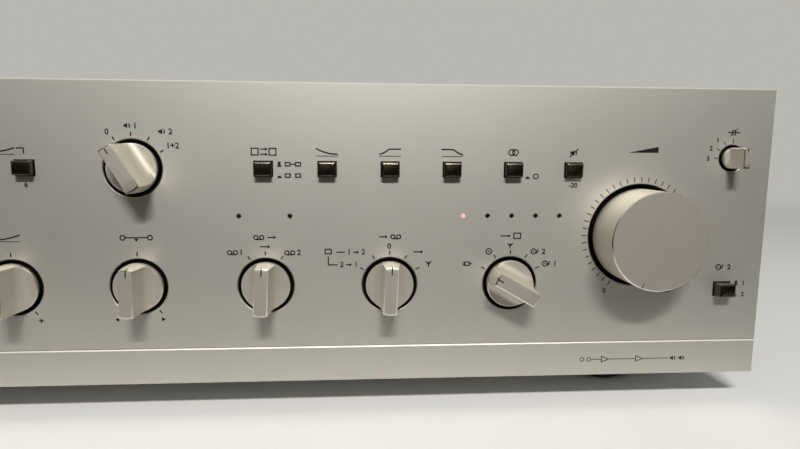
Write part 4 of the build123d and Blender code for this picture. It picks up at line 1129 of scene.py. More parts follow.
class Print:
    """Flat marks that stand a hair proud of a panel, gathered into one shell."""

    proud = 0.03
    sunk = -0.02
    thin = 0.48
    bold = 0.54
    figure = 3.1
    small = 2.7

    def __init__(self, seat: Seat) -> None:
        """Start with the seat that places are measured on."""
        self.seat = seat
        self.shell = Shell()

    def over(self, node: str) -> None:
        """Measure the next marks from the middle of a control on the front panel."""
        centre = Span.of(node).centre
        self.seat = Seat.front(centre.x, self.seat.origin.y, centre.z)

    def area(self, outline: Sequence[tuple[float, float]]) -> None:
        """A filled outline, given anticlockwise."""
        back = [(x, z, self.sunk) for x, z in outline]
        front = [(x, z, self.proud) for x, z in outline]
        self.shell.solid(self.seat, [back, front])

    def line(self, points: Sequence[tuple[float, float]], width: float = thin, closed: bool = False) -> None:
        """A line of even width with mitred corners.

        Args:
            points: Its middle line.
            width: Its width.
            closed: Whether its end joins its start.
        """
        count = len(points)
        sides: tuple[list, list] = ([], [])
        for k, (x, z) in enumerate(points):
            before = points[k - 1] if k or closed else None
            after = points[(k + 1) % count] if k < count - 1 or closed else None
            runs = []
            if before is not None:
                runs.append(Vector((x - before[0], z - before[1])).normalized())
            if after is not None:
                runs.append(Vector((after[0] - x, after[1] - z)).normalized())
            along = sum(runs, Vector((0, 0))).normalized()
            across = Vector((-along.y, along.x))
            spread = width / 2 / max(0.4, abs(across.dot(Vector((-runs[0].y, runs[0].x)))))
            for side, sign in zip(sides, (1, -1)):
                side.append((x + sign * across.x * spread, z + sign * across.y * spread))
        left, right = sides
        loops = [
            [(x, z, self.sunk) for x, z in right],
            [(x, z, self.proud) for x, z in right],
            [(x, z, self.proud) for x, z in left],
            [(x, z, self.sunk) for x, z in left],
            [(x, z, self.sunk) for x, z in right],
        ]
        self.shell.patch(self.seat, loops, closed=closed)
        if not closed:
            for k, over in ((0, True), (-1, False)):
                self.shell.cap(self.seat, [loops[i][k] for i in range(4)][::-1], turned_over=over)

    def ring(self, x: float, z: float, radius: float, width: float = thin) -> None:
        """A round line."""
        self.line([(x + u, z + v) for u, v, _ in circle(radius, 0.0, 28)], width, closed=True)

    def dot(self, x: float, z: float, radius: float) -> None:
        """A filled disc."""
        self.area([(x + u, z + v) for u, v, _ in circle(radius, 0.0, 20)])

    def box(self, x: float, z: float, wide: float, tall: float, width: float = thin) -> None:
        """The outline of a rectangle."""
        left, right, low, high = x - wide / 2, x + wide / 2, z - tall / 2, z + tall / 2
        self.line([(left, low), (right, low), (right, high), (left, high)], width, closed=True)

    def number(self, text: str, x: float, z: float, size: float = figure) -> None:
        """Plain figures centred on a place."""
        curve = bpy.data.curves.new("figures", "FONT")
        curve.body = text
        curve.size = size
        curve.align_x = "CENTER"
        curve.align_y = "CENTER"
        curve.resolution_u = 4
        curve.extrude = (self.proud - self.sunk) / 2
        curve.offset = 0.08
        holder = bpy.data.objects.new("figures", curve)
        bpy.context.scene.collection.objects.link(holder)
        graph = bpy.context.evaluated_depsgraph_get()
        mesh = bpy.data.meshes.new_from_object(holder.evaluated_get(graph), depsgraph=graph)
        bpy.data.objects.remove(holder)
        lift = (self.proud + self.sunk) / 2
        seat = self.seat
        origin = seat.origin + x * seat.right + z * seat.up + lift * seat.out
        self.shell.add_mesh(Seat(origin, seat.right, seat.up, seat.out), mesh)

    def build(self, name: str, material: bpy.types.Material) -> bpy.types.Object:
        """The marks as one piece."""
        return self.shell.build(name, [material], smooth=False)


class Icons(Print):
    """Plain pictograms for the places of a hi-fi panel's labels."""

    def speaker(self, x: float, z: float, size: float = 1.0) -> None:
        """A loudspeaker: its box, its cone and one wave."""
        s = size
        shape = [(-1.2, -0.45), (-0.55, -0.45), (0.25, -1.1), (0.25, 1.1), (-0.55, 0.45), (-1.2, 0.45)]
        self.area([(x + s * u, z + s * v) for u, v in shape])
        turns = [radians(d) for d in range(-48, 49, 16)]
        wave = [(x + s * (0.1 + cos(a)), z + s * sin(a)) for a in turns]
        self.line(wave)

    def reels(self, x: float, z: float) -> None:
        """A tape: two reels on their ribbon."""
        self.ring(x - 1.15, z, 0.8)
        self.ring(x + 1.15, z, 0.8)
        self.line([(x - 1.15, z - 0.8), (x + 1.15, z - 0.8)])

    def arrow(self, x: float, z: float, length: float = 2.6) -> None:
        """An arrow to the right."""
        end = x + length / 2
        self.line([(x - length / 2, z), (end - 0.8, z)])
        self.area([(end - 0.95, z - 0.75), (end, z), (end - 0.95, z + 0.75)])

    def mast(self, x: float, z: float) -> None:
        """An aerial: a mast with two arms."""
        self.line([(x, z - 1.2), (x, z + 0.9)])
        self.line([(x - 1.1, z + 1.1), (x, z - 0.1), (x + 1.1, z + 1.1)])

    def disc(self, x: float, z: float) -> None:
        """A disc with its hole."""
        self.ring(x, z, 1.15)
        self.dot(x, z, 0.34)

    def player(self, x: float, z: float) -> None:
        """A record player: a disc and its arm."""
        self.ring(x, z, 1.05)
        self.dot(x, z, 0.3)
        self.line([(x + 1.75, z + 1.1), (x + 1.75, z - 0.1), (x + 0.9, z - 0.75)])

    def plug(self, x: float, z: float) -> None:
        """A plug, for a spare input."""
        self.box(x + 0.2, z, 1.9, 1.4)
        self.line([(x + 1.15, z), (x + 2.3, z)])
        self.line([(x - 1.7, z + 0.42), (x - 0.8, z + 0.42)])
        self.line([(x - 1.7, z - 0.42), (x - 0.8, z - 0.42)])

    def latch(self, x: float, z: float, out: bool) -> None:
        """A push button as seen from its side, standing out or pushed in."""
        top = z + 1.0 if out else z - 0.05
        self.area([(x - 1.0, z - 1.0), (x + 1.0, z - 1.0), (x + 0.7, z - 0.45), (x - 0.7, z - 0.45)])
        self.area([(x - 0.55, z - 0.45), (x + 0.55, z - 0.45), (x + 0.55, top), (x - 0.55, top)])

    def curve(self, x: float, z: float, wide: float, tall: float, shape: Callable[[float], float]) -> None:
        """A response curve over its base line.

        Args:
            x: Middle of the curve.
            z: Middle of its height.
            wide: Its width.
            tall: Its height.
            shape: Height between 0 and 1 for a place between 0 and 1.
        """
        steps = 14
        points = [
            (x + wide * (k / steps - 0.5), z + tall * (shape(k / steps) - 0.5))
            for k in range(steps + 1)
        ]
        self.line(points, self.bold)
        base = z - tall / 2 - 0.75
        self.line([(x - wide / 2, base), (x + wide / 2, base)], 0.26)

    def wedge(self, x: float, z: float, wide: float, tall: float) -> None:
        """A rising wedge, for loudness."""
        self.area([(x - wide / 2, z - tall / 2), (x + wide / 2, z - tall / 2), (x + wide / 2, z + tall / 2)])

    def two_boxes(self, x: float, z: float, apart: bool) -> None:
        """Two units, joined by a link or apart."""
        self.box(x - 2.0, z, 1.9, 1.3)
        self.box(x + 2.0, z, 1.9, 1.3)
        if not apart:
            self.line([(x - 1.05, z), (x + 1.05, z)])

    def rings(self, x: float, z: float, both: bool) -> None:
        """One channel, or two that overlap."""
        if both:
            self.ring(x - 0.75, z, 1.15)
            self.ring(x + 0.75, z, 1.15)
        else:
            self.ring(x, z, 0.95)


@dataclass
class FrontPrint:
    """All the marks on the front panel: scales, figures and pictograms."""

    tick_width: float = 0.5

    def ticks(
        self, tree: ScaleTree, paint: Paintbox, place: Vector, face: float, angles: tuple[float, float, int],
        radii: tuple[float, float], width: float,
    ) -> bpy.types.Mesh:
        """One scale as a mesh.

        Args:
            tree: The scale's tree.
            paint: The finishes.
            place: Middle of the control.
            face: Y of the panel's face.
            angles: First and last angle in degrees, and the number of ticks.
            radii: Where each tick starts and ends.
            width: Width of a tick.

        Returns:
            The mesh of the ticks.
        """
        first, last, count = angles
        seeds = bpy.data.meshes.new("scale")
        values = {
            "Count": count, "Centre": Vector((place.x, face, place.z)) * MM, "First": radians(first),
            "Last": radians(last), "Inner": radii[0] * MM, "Outer": radii[1] * MM, "Width": width * MM,
            "Thickness": 2 * Print.proud * MM, "Finish": paint(Finish.INK),
        }
        return tree.run(seeds, values)

    def scales(self, paint: Paintbox, face: float) -> None:
        """Ticks round every knob."""
        tree = ScaleTree()
        made = []
        tone = [(0, 30, 1), (-142, 142, 2)]
        scales = {
            "bass": tone, "treble": tone, "balance": tone, "tape_monitor": [(-30, 30, 3)],
            "tape_out": [(-60, 60, 5)], "function": [(-60, 60, 5)], "speakers": [(-30, 60, 4)],
        }
        for name, arcs in scales.items():
            place = Span.of(f"{name}_shaft").centre
            for first, last, count in arcs:
                double = (first, last, count) if count > 1 else (first, first, 2)
                made.append(self.ticks(tree, paint, place, face, double, (12.2, 13.8), self.tick_width))
        place = Span.of("volume_shaft").centre
        made.append(self.ticks(tree, paint, place, face, (-150, 150, 41), (22.1, 24.1), 0.38))
        place = Span.of("cap_trim_shaft").centre
        made.append(self.ticks(tree, paint, place, face, (-90, 0, 4), (6.1, 7.8), 0.36))
        settle(joined("scale_ticks", made), CHASSIS, "panel_metal")

    def build(self, paint: Paintbox) -> None:
        """Make the scales, figures and pictograms."""
        panel = Span.of("front_panel")
        face = panel.low.y
        self.scales(paint, face)
        marks = Icons(Seat.front(0.0, face, panel.low.z))
        self.selectors(marks)
        self.buttons(marks)
        self.ends(marks)
        settle(marks.build("panel_marks", paint(Finish.INK)), CHASSIS, "panel_metal")

    def selectors(self, marks: Icons) -> None:
        """Marks round the selectors."""
        marks.over("speakers_shaft")
        marks.number("0", -8.8, 13.7)
        marks.speaker(-1.3, 16.1)
        marks.number("1", 1.8, 16.0)
        marks.speaker(11.5, 14.0)
        marks.number("2", 14.8, 13.9)
        marks.number("1+2", 15.4, 8.6)
        marks.over("tape_monitor_shaft")
        marks.reels(-2.4, 19.4)
        marks.arrow(2.6, 19.4, 3.4)
        marks.reels(-12.8, 13.4)
        marks.number("1", -9.4, 13.4)
        marks.arrow(0, 15.7, 4.0)
        marks.reels(9.6, 13.2)
        marks.number("2", 13.2, 13.2)
        marks.over("tape_out_shaft")
        marks.arrow(-2.6, 19.5, 3.4)
        marks.reels(2.4, 19.5)
        marks.number("1", -16.3, 13.3)
        marks.arrow(-13.5, 13.3, 2.4)
        marks.number("2", -10.6, 13.3)
        marks.number("2", -19.2, 8.2)
        marks.arrow(-16.4, 8.2, 2.4)
        marks.number("1", -13.5, 8.2)
        marks.line([(-21.4, 13.3), (-18.0, 13.3)])
        marks.line([(-24.6, 11.6), (-24.6, 8.2), (-20.8, 8.2)])
        marks.box(-24.6, 13.6, 2.4, 1.8)
        marks.number("0", -0.2, 15.6)
        marks.arrow(11.6, 13.3, 3.8)
        marks.mast(15.8, 8.3)
        marks.over("function_shaft")
        marks.arrow(-2.2, 19.7, 4.2)
        marks.box(2.6, 19.7, 2.8, 2.2)
        marks.plug(-18.0, 8.3)
        marks.disc(-9.0, 13.3)
        marks.mast(-0.2, 15.6)
        marks.player(9.6, 13.2)
        marks.number("2", 13.8, 13.1)
        marks.player(14.6, 8.1)
        marks.number("1", 18.8, 8.0)

    def tone(self, marks: Icons, name: str, shape: Callable[[float], float]) -> None:
        """Title and ends of a tone control."""
        marks.over(f"{name}_shaft")
        marks.curve(0, 19.8, 8.0, 1.8, shape)
        marks.line([(-10.4, -13.3), (-8.6, -13.3)])
        marks.line([(8.6, -13.3), (10.4, -13.3)])
        marks.line([(9.5, -14.2), (9.5, -12.4)])

    def buttons(self, marks: Icons) -> None:
        """Marks over and beside the push buttons."""
        for name, shape in (("bass", lambda t: 1 - t**0.6), ("treble", lambda t: t**1.8)):
            nodes = [f"{name}_turnover_{end}_button" for end in ("low", "high")]
            apart = Span.of(nodes[1]).centre.x - Span.of(nodes[0]).centre.x
            marks.over(nodes[0])
            marks.curve(apart / 2, 6.6, 9.0, 1.7, shape)
            marks.line([(0, 5.2), (0, 7.4), (2.6, 7.4)])
            marks.line([(apart - 2.6, 7.4), (apart, 7.4), (apart, 5.2)])
            marks.number("3", 0, -6.5, marks.small)
            marks.number("6", apart, -6.5, marks.small)
        marks.over("pre_out_button")
        marks.box(-3.1, 6.6, 2.6, 2.6)
        marks.arrow(0.4, 7.6, 3.0)
        marks.arrow(0.4, 5.6, 3.0)
        marks.box(3.7, 6.6, 2.6, 2.6)
        marks.latch(6.2, 1.8, out=True)
        marks.two_boxes(11.4, 1.8, apart=False)
        marks.latch(6.2, -2.6, out=False)
        marks.two_boxes(11.4, -2.6, apart=True)
        marks.over("bass_contour_button")
        marks.curve(0, 6.9, 8.6, 2.2, lambda t: (1 - t) ** 2.2)
        marks.over("subsonic_button")
        marks.curve(0, 6.9, 8.6, 2.0, lambda t: min(1.0, (2.2 * t) ** 1.6))
        marks.over("high_cut_button")
        marks.curve(0, 6.9, 8.6, 2.0, lambda t: min(1.0, (2.2 * (1 - t)) ** 1.6))
        marks.over("mode_button")
        marks.rings(0, 6.9, both=True)
        marks.latch(6.0, -2.6, out=False)
        marks.rings(9.4, -2.6, both=False)
        marks.over("mute_button")
        marks.speaker(-0.2, 6.9, 1.1)
        marks.line([(-1.7, 5.3), (1.7, 8.5)])
        marks.number("-20", 0.2, -6.2, marks.small)
        marks.over("cartridge_button")
        marks.player(-2.0, 9.3)
        marks.number("2", 2.6, 9.2)
        marks.latch(6.3, 2.4, out=True)
        marks.number("1", 9.6, 2.2, marks.small)
        marks.latch(6.3, -2.5, out=False)
        marks.number("2", 9.6, -2.6, marks.small)

    def ends(self, marks: Icons) -> None:
        """Titles of the rotary controls, the ends of the panel and the strip at its foot."""
        self.tone(marks, "bass", lambda t: 1 - t**0.7)
        self.tone(marks, "treble", lambda t: t**1.6)
        marks.over("balance_shaft")
        marks.line([(-4.2, 19.5), (4.2, 19.5)])
        marks.area([(-0.9, 19.1), (0, 17.9), (0.9, 19.1)])
        marks.ring(-5.2, 19.5, 0.9)
        marks.ring(5.2, 19.5, 0.9)
        marks.area([(-8.2, -14.2), (-8.2, -12.4), (-9.8, -13.3)])
        marks.area([(8.2, -12.4), (8.2, -14.2), (9.8, -13.3)])
        marks.over("volume_shaft")
        marks.wedge(0, 35.1, 12.5, 2.4)
        marks.number("0", -13.4, -23.2, marks.small)
        marks.number("10", 13.8, -23.4, marks.small)
        marks.over("cap_trim_shaft")
        marks.line([(-2.6, 10.4), (-0.5, 10.4)])
        marks.line([(0.5, 10.4), (2.6, 10.4)])
        marks.line([(-0.5, 9.2), (-0.5, 11.6)], marks.bold)
        marks.line([(0.5, 9.2), (0.5, 11.6)], marks.bold)
        marks.line([(-1.8, 8.8), (1.7, 12.2)], 0.26)
        marks.number("3", -10.2, -0.2, marks.small)
        marks.number("2", -9.2, 3.9, marks.small)
        marks.number("1", -6.6, 7.2, marks.small)
        marks.over("power_button")
        marks.ring(0, 9.0, 1.2)
        marks.line([(0, 9.2), (0, 10.8)])
        marks.number("OFF", 12.4, 2.2, 2.2)
        marks.number("ON", 12.0, -2.2, 2.2)
        marks.over("headphone_socket")
        cups = [(1.9 * cos(radians(d)), 11.6 + 1.9 * sin(radians(d))) for d in range(0, 181, 15)]
        marks.line(cups)
        marks.area([(-2.3, 9.9), (-1.4, 9.9), (-1.4, 11.7), (-2.3, 11.7)])
        marks.area([(1.4, 9.9), (2.3, 9.9), (2.3, 11.7), (1.4, 11.7)])
        self.strip(marks)

    def strip(self, marks: Icons) -> None:
        """A signal path drawn along the foot of the panel: inputs, two amplifier stages and speakers."""
        marks.seat = Seat.front(0.0, marks.seat.origin.y, Span.of("front_panel").low.z)
        left, right = 142.0, 189.0
        z = 6.9
        stages = (left + 12.0, left + 27.0)
        for x in (left + 2.0, left + 5.0):
            marks.ring(x, z, 0.8, 0.3)
        runs = [
            (left + 6.2, stages[0] - 1.6), (stages[0] + 1.7, stages[1] - 1.6), (stages[1] + 1.7, right - 7.2),
        ]
        for start, end in runs:
            marks.line([(start, z), (end, z)], 0.28)
        for x in stages:
            marks.line([(x - 1.5, z - 1.25), (x + 1.5, z), (x - 1.5, z + 1.25)], 0.34, closed=True)
        marks.speaker(right - 5.2, z, 0.95)
        marks.speaker(right - 1.4, z, 0.95)


# ---- screws


def solids_of(node: str, gap: float = 0.6) -> list[Span]:
    """Boxes of the separate solids of a construction node.

    Args:
        node: The node.
        gap: Vertices nearer than this, in millimetres, belong to one solid.

    Returns:
        One box for each solid.
    """
    source = bpy.data.objects[node].data
    work = bmesh.new()
    work.from_mesh(source)
    bmesh.ops.remove_doubles(work, verts=work.verts, dist=1e-6)
    unseen = set(work.verts)
    boxes = []
    while unseen:
        start = unseen.pop()
        group, edge = [start], [start]
        while edge:
            vert = edge.pop()
            for link in vert.link_edges:
                other = link.other_vert(vert)
                if other in unseen:
                    unseen.remove(other)
                    group.append(other)
                    edge.append(other)
        boxes.append(Span.round([v.co / MM for v in group]))
    work.free()
    merged: list[Span] = []
    for box in boxes:
        home = next((m for m in merged if box.near(m, gap)), None)
        if home is not None:
            merged.remove(home)
            box = Span.round([home.low, box.low, home.high, box.high])
        merged.append(box)
    return sorted(merged, key=lambda b: tuple(round(c, 2) for c in b.centre))


@dataclass(frozen=True)
class Screws:
    """Cross-head screws of the case, the board and the rear fittings."""

    head_radius: float = 3.0
    head_height: float = 1.8
    shank_radius: float = 1.45
    length: float = 6.0
    recess: float = 1.1
    arm: float = 1.75
    arm_half: float = 0.42

    def template(self) -> bpy.types.Object:
        """One screw with its head up, its seat at the origin."""
        seat = Seat.level(0, 0, 0)
        count = 32
        shell = Shell()
        outline = [
            (0.02, -self.length), (self.shank_radius - 0.4, -self.length),
            (self.shank_radius, -self.length + 0.6),
        ]
        outline += [
            (self.shank_radius, 0.0), (self.head_radius - 0.15, 0.0), (self.head_radius, 0.15),
            (self.head_radius, 0.75),
        ]
        for k in range(1, 5):
            a = radians(90 * k / 4 * 0.8)
            outline.append((self.head_radius - 0.9 * (1 - cos(a)), 0.75 + 1.05 * sin(a)))
        rim = 2.05
        outline.append((rim, self.head_height))
        loops = [circle(r, h, count, phase=pi / count) for r, h in outline]
        star = []
        for k in range(count):
            a = pi / count + 2 * pi * k / count
            c, s = abs(cos(a)), abs(sin(a))
            reach = self.arm / max(c, s)
            side = self.arm_half / max(1e-6, min(c, s))
            r = min(reach, side) if min(c, s) * reach > self.arm_half else reach
            star.append((r * cos(a), r * sin(a)))
        loops.append([(u, v, self.head_height) for u, v in star])
        loops.append([(0.62 * u, 0.62 * v, self.head_height - self.recess) for u, v in star])
        shell.solid(seat, loops)
        return shell.build("screw_template", [])

    def build(self, paint: Paintbox) -> None:
        """Put a screw in the place of each construction screw."""
        places, aims = [], []
        body = Span.of("top_cover")
        for number, box in enumerate(solids_of("case_screws")):
            centre, size = box.centre, box.size
            roll = 0.7 * number
            if size.x > max(size.y, size.z):
                side = 1 if centre.x > 0 else -1
                places.append(Vector((side * body.high.x, centre.y, centre.z)))
                aims.append((roll, side * pi / 2, 0.0))
            elif size.y > max(size.x, size.z):
                places.append(Vector((centre.x, box.high.y - self.head_height, centre.z)))
                aims.append((-pi / 2, roll, 0.0))
            else:
                places.append(Vector((centre.x, centre.y, box.high.z - self.head_height)))
                aims.append((0.0, 0.0, roll))
        log.info("%d screws", len(places))
        mesh = FittingTree().on([p * MM for p in places], aims, self.template(), paint(Finish.SCREW))
        settle(plain("cross_head_screws", mesh), CHASSIS, "screw_black", "case_screws")


# ---- rear panel


@dataclass(frozen=True)
class PhonoSockets:
    """Rows of phono sockets: plated sleeves round coloured insulators."""

    flange: float = 5.2
    flange_height: float = 1.2
    barrel: float = 4.15
    length: float = 9.0
    wall: float = 0.45
    hole: float = 1.7
    lead: float = 1.2

    def sleeve(self) -> bpy.types.Object:
        """The plated flange and barrel, looking up from its seat."""
        top = self.flange_height + self.length
        outline = [
            (0.02, -7.0), (self.lead, -7.0), (self.lead, 0.0), (self.flange, 0.0),
            (self.flange, self.flange_height - 0.2),
        ]
        outline += [
            (self.flange - 0.2, self.flange_height), (self.barrel, self.flange_height),
            (self.barrel, top - 0.3),
        ]
        outline += [
            (self.barrel - 0.15, top), (self.barrel - self.wall, top), (self.barrel - self.wall, top - 1.2),
            (0.02, top - 1.2),
        ]
        shell = Shell()
        shell.solid(Seat.level(0, 0, 0), [circle(r, h, 32) for r, h in outline])
        return shell.build("sleeve_template", [])

    def insulator(self) -> bpy.types.Object:
        """The coloured insulator inside the barrel, with the hole for the plug's pin."""
        top = self.flange_height + self.length
        radius = self.barrel - self.wall - 0.02
        outline = [
            (radius, top - 1.25), (radius, top - 0.55), (radius - 0.25, top - 0.35),
            (self.hole + 0.2, top - 0.35),
        ]
        outline += [(self.hole, top - 0.5), (self.hole, top - 1.15)]
        shell = Shell()
        shell.solid(Seat.level(0, 0, 0), [circle(r, h, 24) for r, h in outline])
        return shell.build("insulator_template", [])

    def build(self, paint: Paintbox) -> None:
        """Put a socket in the place of each construction socket."""
        boxes = solids_of("phono_jacks")
        back = Span.of("jack_plate").high.y
        upper = max(b.centre.z for b in boxes)
        tree = FittingTree()
        groups = {"phono_sleeves": (boxes, Finish.NICKEL, self.sleeve())}
        groups["phono_insulators_white"] = (
            [b for b in boxes if b.centre.z > upper - 2], Finish.WHITE, self.insulator(),
        )
        groups["phono_insulators_red"] = (
            [b for b in boxes if b.centre.z <= upper - 2], Finish.RED, self.insulator(),
        )
        for name, (members, finish, template) in groups.items():
            places = [Vector((b.centre.x, back, b.centre.z)) * MM for b in members]
            mesh = tree.on(places, [AIM_BACK] * len(places), template, paint(finish))
            nodes = ("phono_jacks",) if finish is Finish.NICKEL else ()
            settle(plain(name, mesh), CHASSIS, "nickel", *nodes)


@dataclass(frozen=True)
class SpeakerTerminals:
    """Two rows of sprung terminals with red and black levers in one black housing."""

    ear: float = 9.0
    ear_thickness: float = 2.5
    ways: int = 4
    row_pitch: float = 17.0
    mouth: float = 1.8
    lever: float = 4.3

    def lever_template(self) -> bpy.types.Object:
        """One lever, looking up from the housing's face, hinged at its lower end."""
        seat = Seat.level(0, 0, 0)
        shell = Shell()
        loops = [rounded(self.lever, 2.9, 0.7, -1.2, 3), rounded(self.lever, 2.9, 0.7, 0.2, 3)]
        top = rounded(self.lever - 0.3, 2.6, 0.6, 0.0, 3)
        loops.append([(u, v, 1.1 + 0.35 * (v + 2.6) / 5.2) for u, v, h in top])
        inner = rounded(self.lever - 1.0, 1.7, 0.5, 0.0, 3)
        loops.append([(u, v, 0.75 + 0.3 * (v + 2.6) / 5.2) for u, v, h in inner])
        shell.solid(seat, loops)
        return shell.build("lever_template", [])

    def build(self, paint: Paintbox) -> None:
        """Make the housing, the wire funnels and the levers."""
        box = Span.of("speaker_terminals")
        seat = Seat.rear(box.centre.x, box.low.y, box.centre.z)
        half_u, half_v = box.size.x / 2 - self.ear, box.size.z / 2
        front = box.size.y - 1.6
        shell = Shell()
        shell.solid(seat, slab(box.size.x / 2, half_v, (2.0, 1.8), 0.0, self.ear_thickness, 0.3))
        shell.solid(seat, slab(half_u, half_v, (0.8, 0.5), self.ear_thickness - 0.2, front, 0.5))
        pitch = 2 * half_u / self.ways
        mouths = []
        m = self.mouth
        for column in range(self.ways):
            for row in (-1, 1):
                u = (column - (self.ways - 1) / 2) * pitch
                v = row * self.row_pitch / 2
                mouths.append((u, v))
                funnel = [(m + 1.5, 0.0), (m + 1.5, 0.5), (m + 1.1, 0.6), (m, 0.15), (m * 0.9, 0.02)]
                shell.solid(seat, [moved(circle(r, front - 0.1 + h, 20), u, v - 4.2) for r, h in funnel])
        housing = shell.build("terminal_housing", [paint(Finish.BLACK)])
        settle(housing, CHASSIS, "terminal_black", "speaker_terminals")
        tree = FittingTree()
        for parity, (name, finish) in enumerate((("red", Finish.RED), ("black", Finish.BLACK))):
            chosen = [(u, v) for k, (u, v) in enumerate(mouths) if (k // 2) % 2 == parity]
            places = [seat.at((u, v + 2.6, front)) for u, v in chosen]
            mesh = tree.on(places, [AIM_BACK] * len(places), self.lever_template(), paint(finish))
            settle(plain(f"terminal_levers_{name}", mesh), CHASSIS, "terminal_black")


@dataclass(frozen=True)
class MainsInlet:
    """A three-pole appliance inlet: a black shroud with plated pins."""

    body_half: tuple[float, float] = (14.0, 10.5)
    socket_half: tuple[float, float] = (12.0, 8.5)
    body_depth: float = 22.0
    socket_depth: float = 16.0
    pin_length: float = 11.0
    pin_spread: float = 7.0
    earth_rise: float = 4.0
    pin_half: tuple[float, float] = (1.0, 2.0)

    def build(self, paint: Paintbox) -> None:
        """Make the shroud and the pins."""
        box = Span.of("mains_inlet")
        rear = Span.of("rear_panel").high.y
        rim = box.high.y - rear
        seat = Seat.rear(box.centre.x, rear, box.centre.z)
        half_u, half_v = box.size.x / 2, box.size.z / 2
        shell = Shell()
        loops = [rounded(*self.body_half, 2.0, -self.body_depth), rounded(*self.body_half, 2.0, 0.0)]
        loops += slab(half_u, half_v, (4.0, 3.6), 0.0, rim, 0.5)
        loops += [
            rounded(self.socket_half[0] + 0.4, self.socket_half[1] + 0.4, 1.8, rim),
            rounded(*self.socket_half, 1.5, rim - 0.6),
        ]
        loops += [rounded(*self.socket_half, 1.5, -self.socket_depth)]
        shell.solid(seat, loops)
        settle(shell.build("inlet_shroud", [paint(Finish.BLACK)]), CHASSIS, "inlet_black", "mains_inlet")
        pins = Shell()
        for u, v in ((-self.pin_spread, 0.0), (self.pin_spread, 0.0), (0.0, self.earth_rise)):
            root, tip = -self.socket_depth, -self.socket_depth + self.pin_length
            shape = [
                rounded(*self.pin_half, 0.25, root, 3), rounded(*self.pin_half, 0.25, tip - 0.8, 3),
                rounded(0.6, 1.6, 0.2, tip, 3),
            ]
            pins.solid(seat, [moved(loop, u, v) for loop in shape])
        settle(pins.build("inlet_pins", [paint(Finish.NICKEL)]), CHASSIS, "nickel")


@dataclass(frozen=True)
class GroundPost:
    """A knurled thumb nut on a stud."""

    radius: float = 3.8
    length: float = 8.5
    ribs: int = 28
    knurl: float = 0.055

    def build(self, paint: Paintbox) -> None:
        """Make the nut and its stud."""
        box = Span.of("ground_post")
        seat = Seat.rear(box.centre.x, Span.of("rear_panel").high.y, box.centre.z)
        count = self.ribs * 2
        shell = Shell()

        def knurled(radius: float, h: float) -> Loop:
            """A circle whose every second point is let in."""
            ridge, valley = circle(radius, h, count), circle((1 - self.knurl) * radius, h, count)
            return [(valley if i % 2 else ridge)[i] for i in range(count)]

        outline = [
            circle(2.0, -7.2, count), circle(2.0, 0.0, count), circle(3.1, 0.0, count),
            circle(3.1, 1.2, count),
        ]
        outline += [
            knurled(self.radius, 1.5), knurled(self.radius, self.length - 1.2),
            circle(3.2, self.length - 0.8, count),
        ]
        outline += [
            circle(2.1, self.length - 0.7, count), circle(1.9, self.length - 0.1, count),
            circle(1.6, self.length, count),
        ]
        shell.solid(seat, outline)
        settle(shell.build("ground_thumb_nut", [paint(Finish.NICKEL)]), CHASSIS, "nickel", "ground_post")


class RearPrint:
    """White figures and rules on the rear panel."""

    def build(self, paint: Paintbox) -> None:
        """Make the marks."""
        plate = Span.of("jack_plate")
        marks = Icons(Seat.rear(0.0, plate.high.y, 0.0))
        columns = sorted({round(b.centre.x, 1) for b in solids_of("phono_jacks")})
        for k, x in enumerate(columns):
            marks.number(str(k + 1), -x, plate.high.z - 2.7, 2.6)
        settle(marks.build("jack_plate_marks", paint(Finish.WHITE_PRINT)), CHASSIS, "plate_black")
        rear = Span.of("rear_panel").high.y
        marks = Icons(Seat.rear(0.0, rear, 0.0))
        box = Span.of("speaker_terminals")
        terminals = SpeakerTerminals()
        pitch = (box.size.x - 2 * terminals.ear) / terminals.ways
        for column in range(terminals.ways):
            u = -box.centre.x + (column - (terminals.ways - 1) / 2) * pitch
            marks.line([(u - 1.0, box.high.z + 4.0), (u + 1.0, box.high.z + 4.0)], 0.4)
            if column % 2 == 0:
                marks.line([(u, box.high.z + 3.0), (u, box.high.z + 5.0)], 0.4)
        for figure, side in (("1", 1), ("2", -1)):
            marks.number(figure, -box.low.x + 4.5, box.centre.z + side * terminals.row_pitch / 2, 3.4)
        post = Span.of("ground_post").centre
        for k, half in enumerate((1.8, 1.2, 0.6)):
            low = post.z - 8.2 - 0.8 * k
            marks.line([(-post.x - half, low), (-post.x + half, low)], 0.34)
        marks.line([(-post.x, post.z - 8.2), (-post.x, post.z - 6.0)], 0.34)
        left, right = -plate.high.x - 2.0, -plate.low.x + 2.0
        low, high = plate.low.z - 2.0, plate.high.z + 2.0
        marks.line([(left, low), (right, low), (right, high), (left, high)], 0.35, closed=True)
        settle(marks.build("rear_marks", paint(Finish.WHITE_PRINT)), CHASSIS, "rear_paint")


class Rear:
    """Everything that is fitted to the rear panel."""

    def build(self, paint: Paintbox) -> None:
        """Make the rear fittings."""
        PhonoSockets().build(paint)
        SpeakerTerminals().build(paint)
        MainsInlet().build(paint)
        GroundPost().build(paint)
        RearPrint().build(paint)


# ---- inside the case


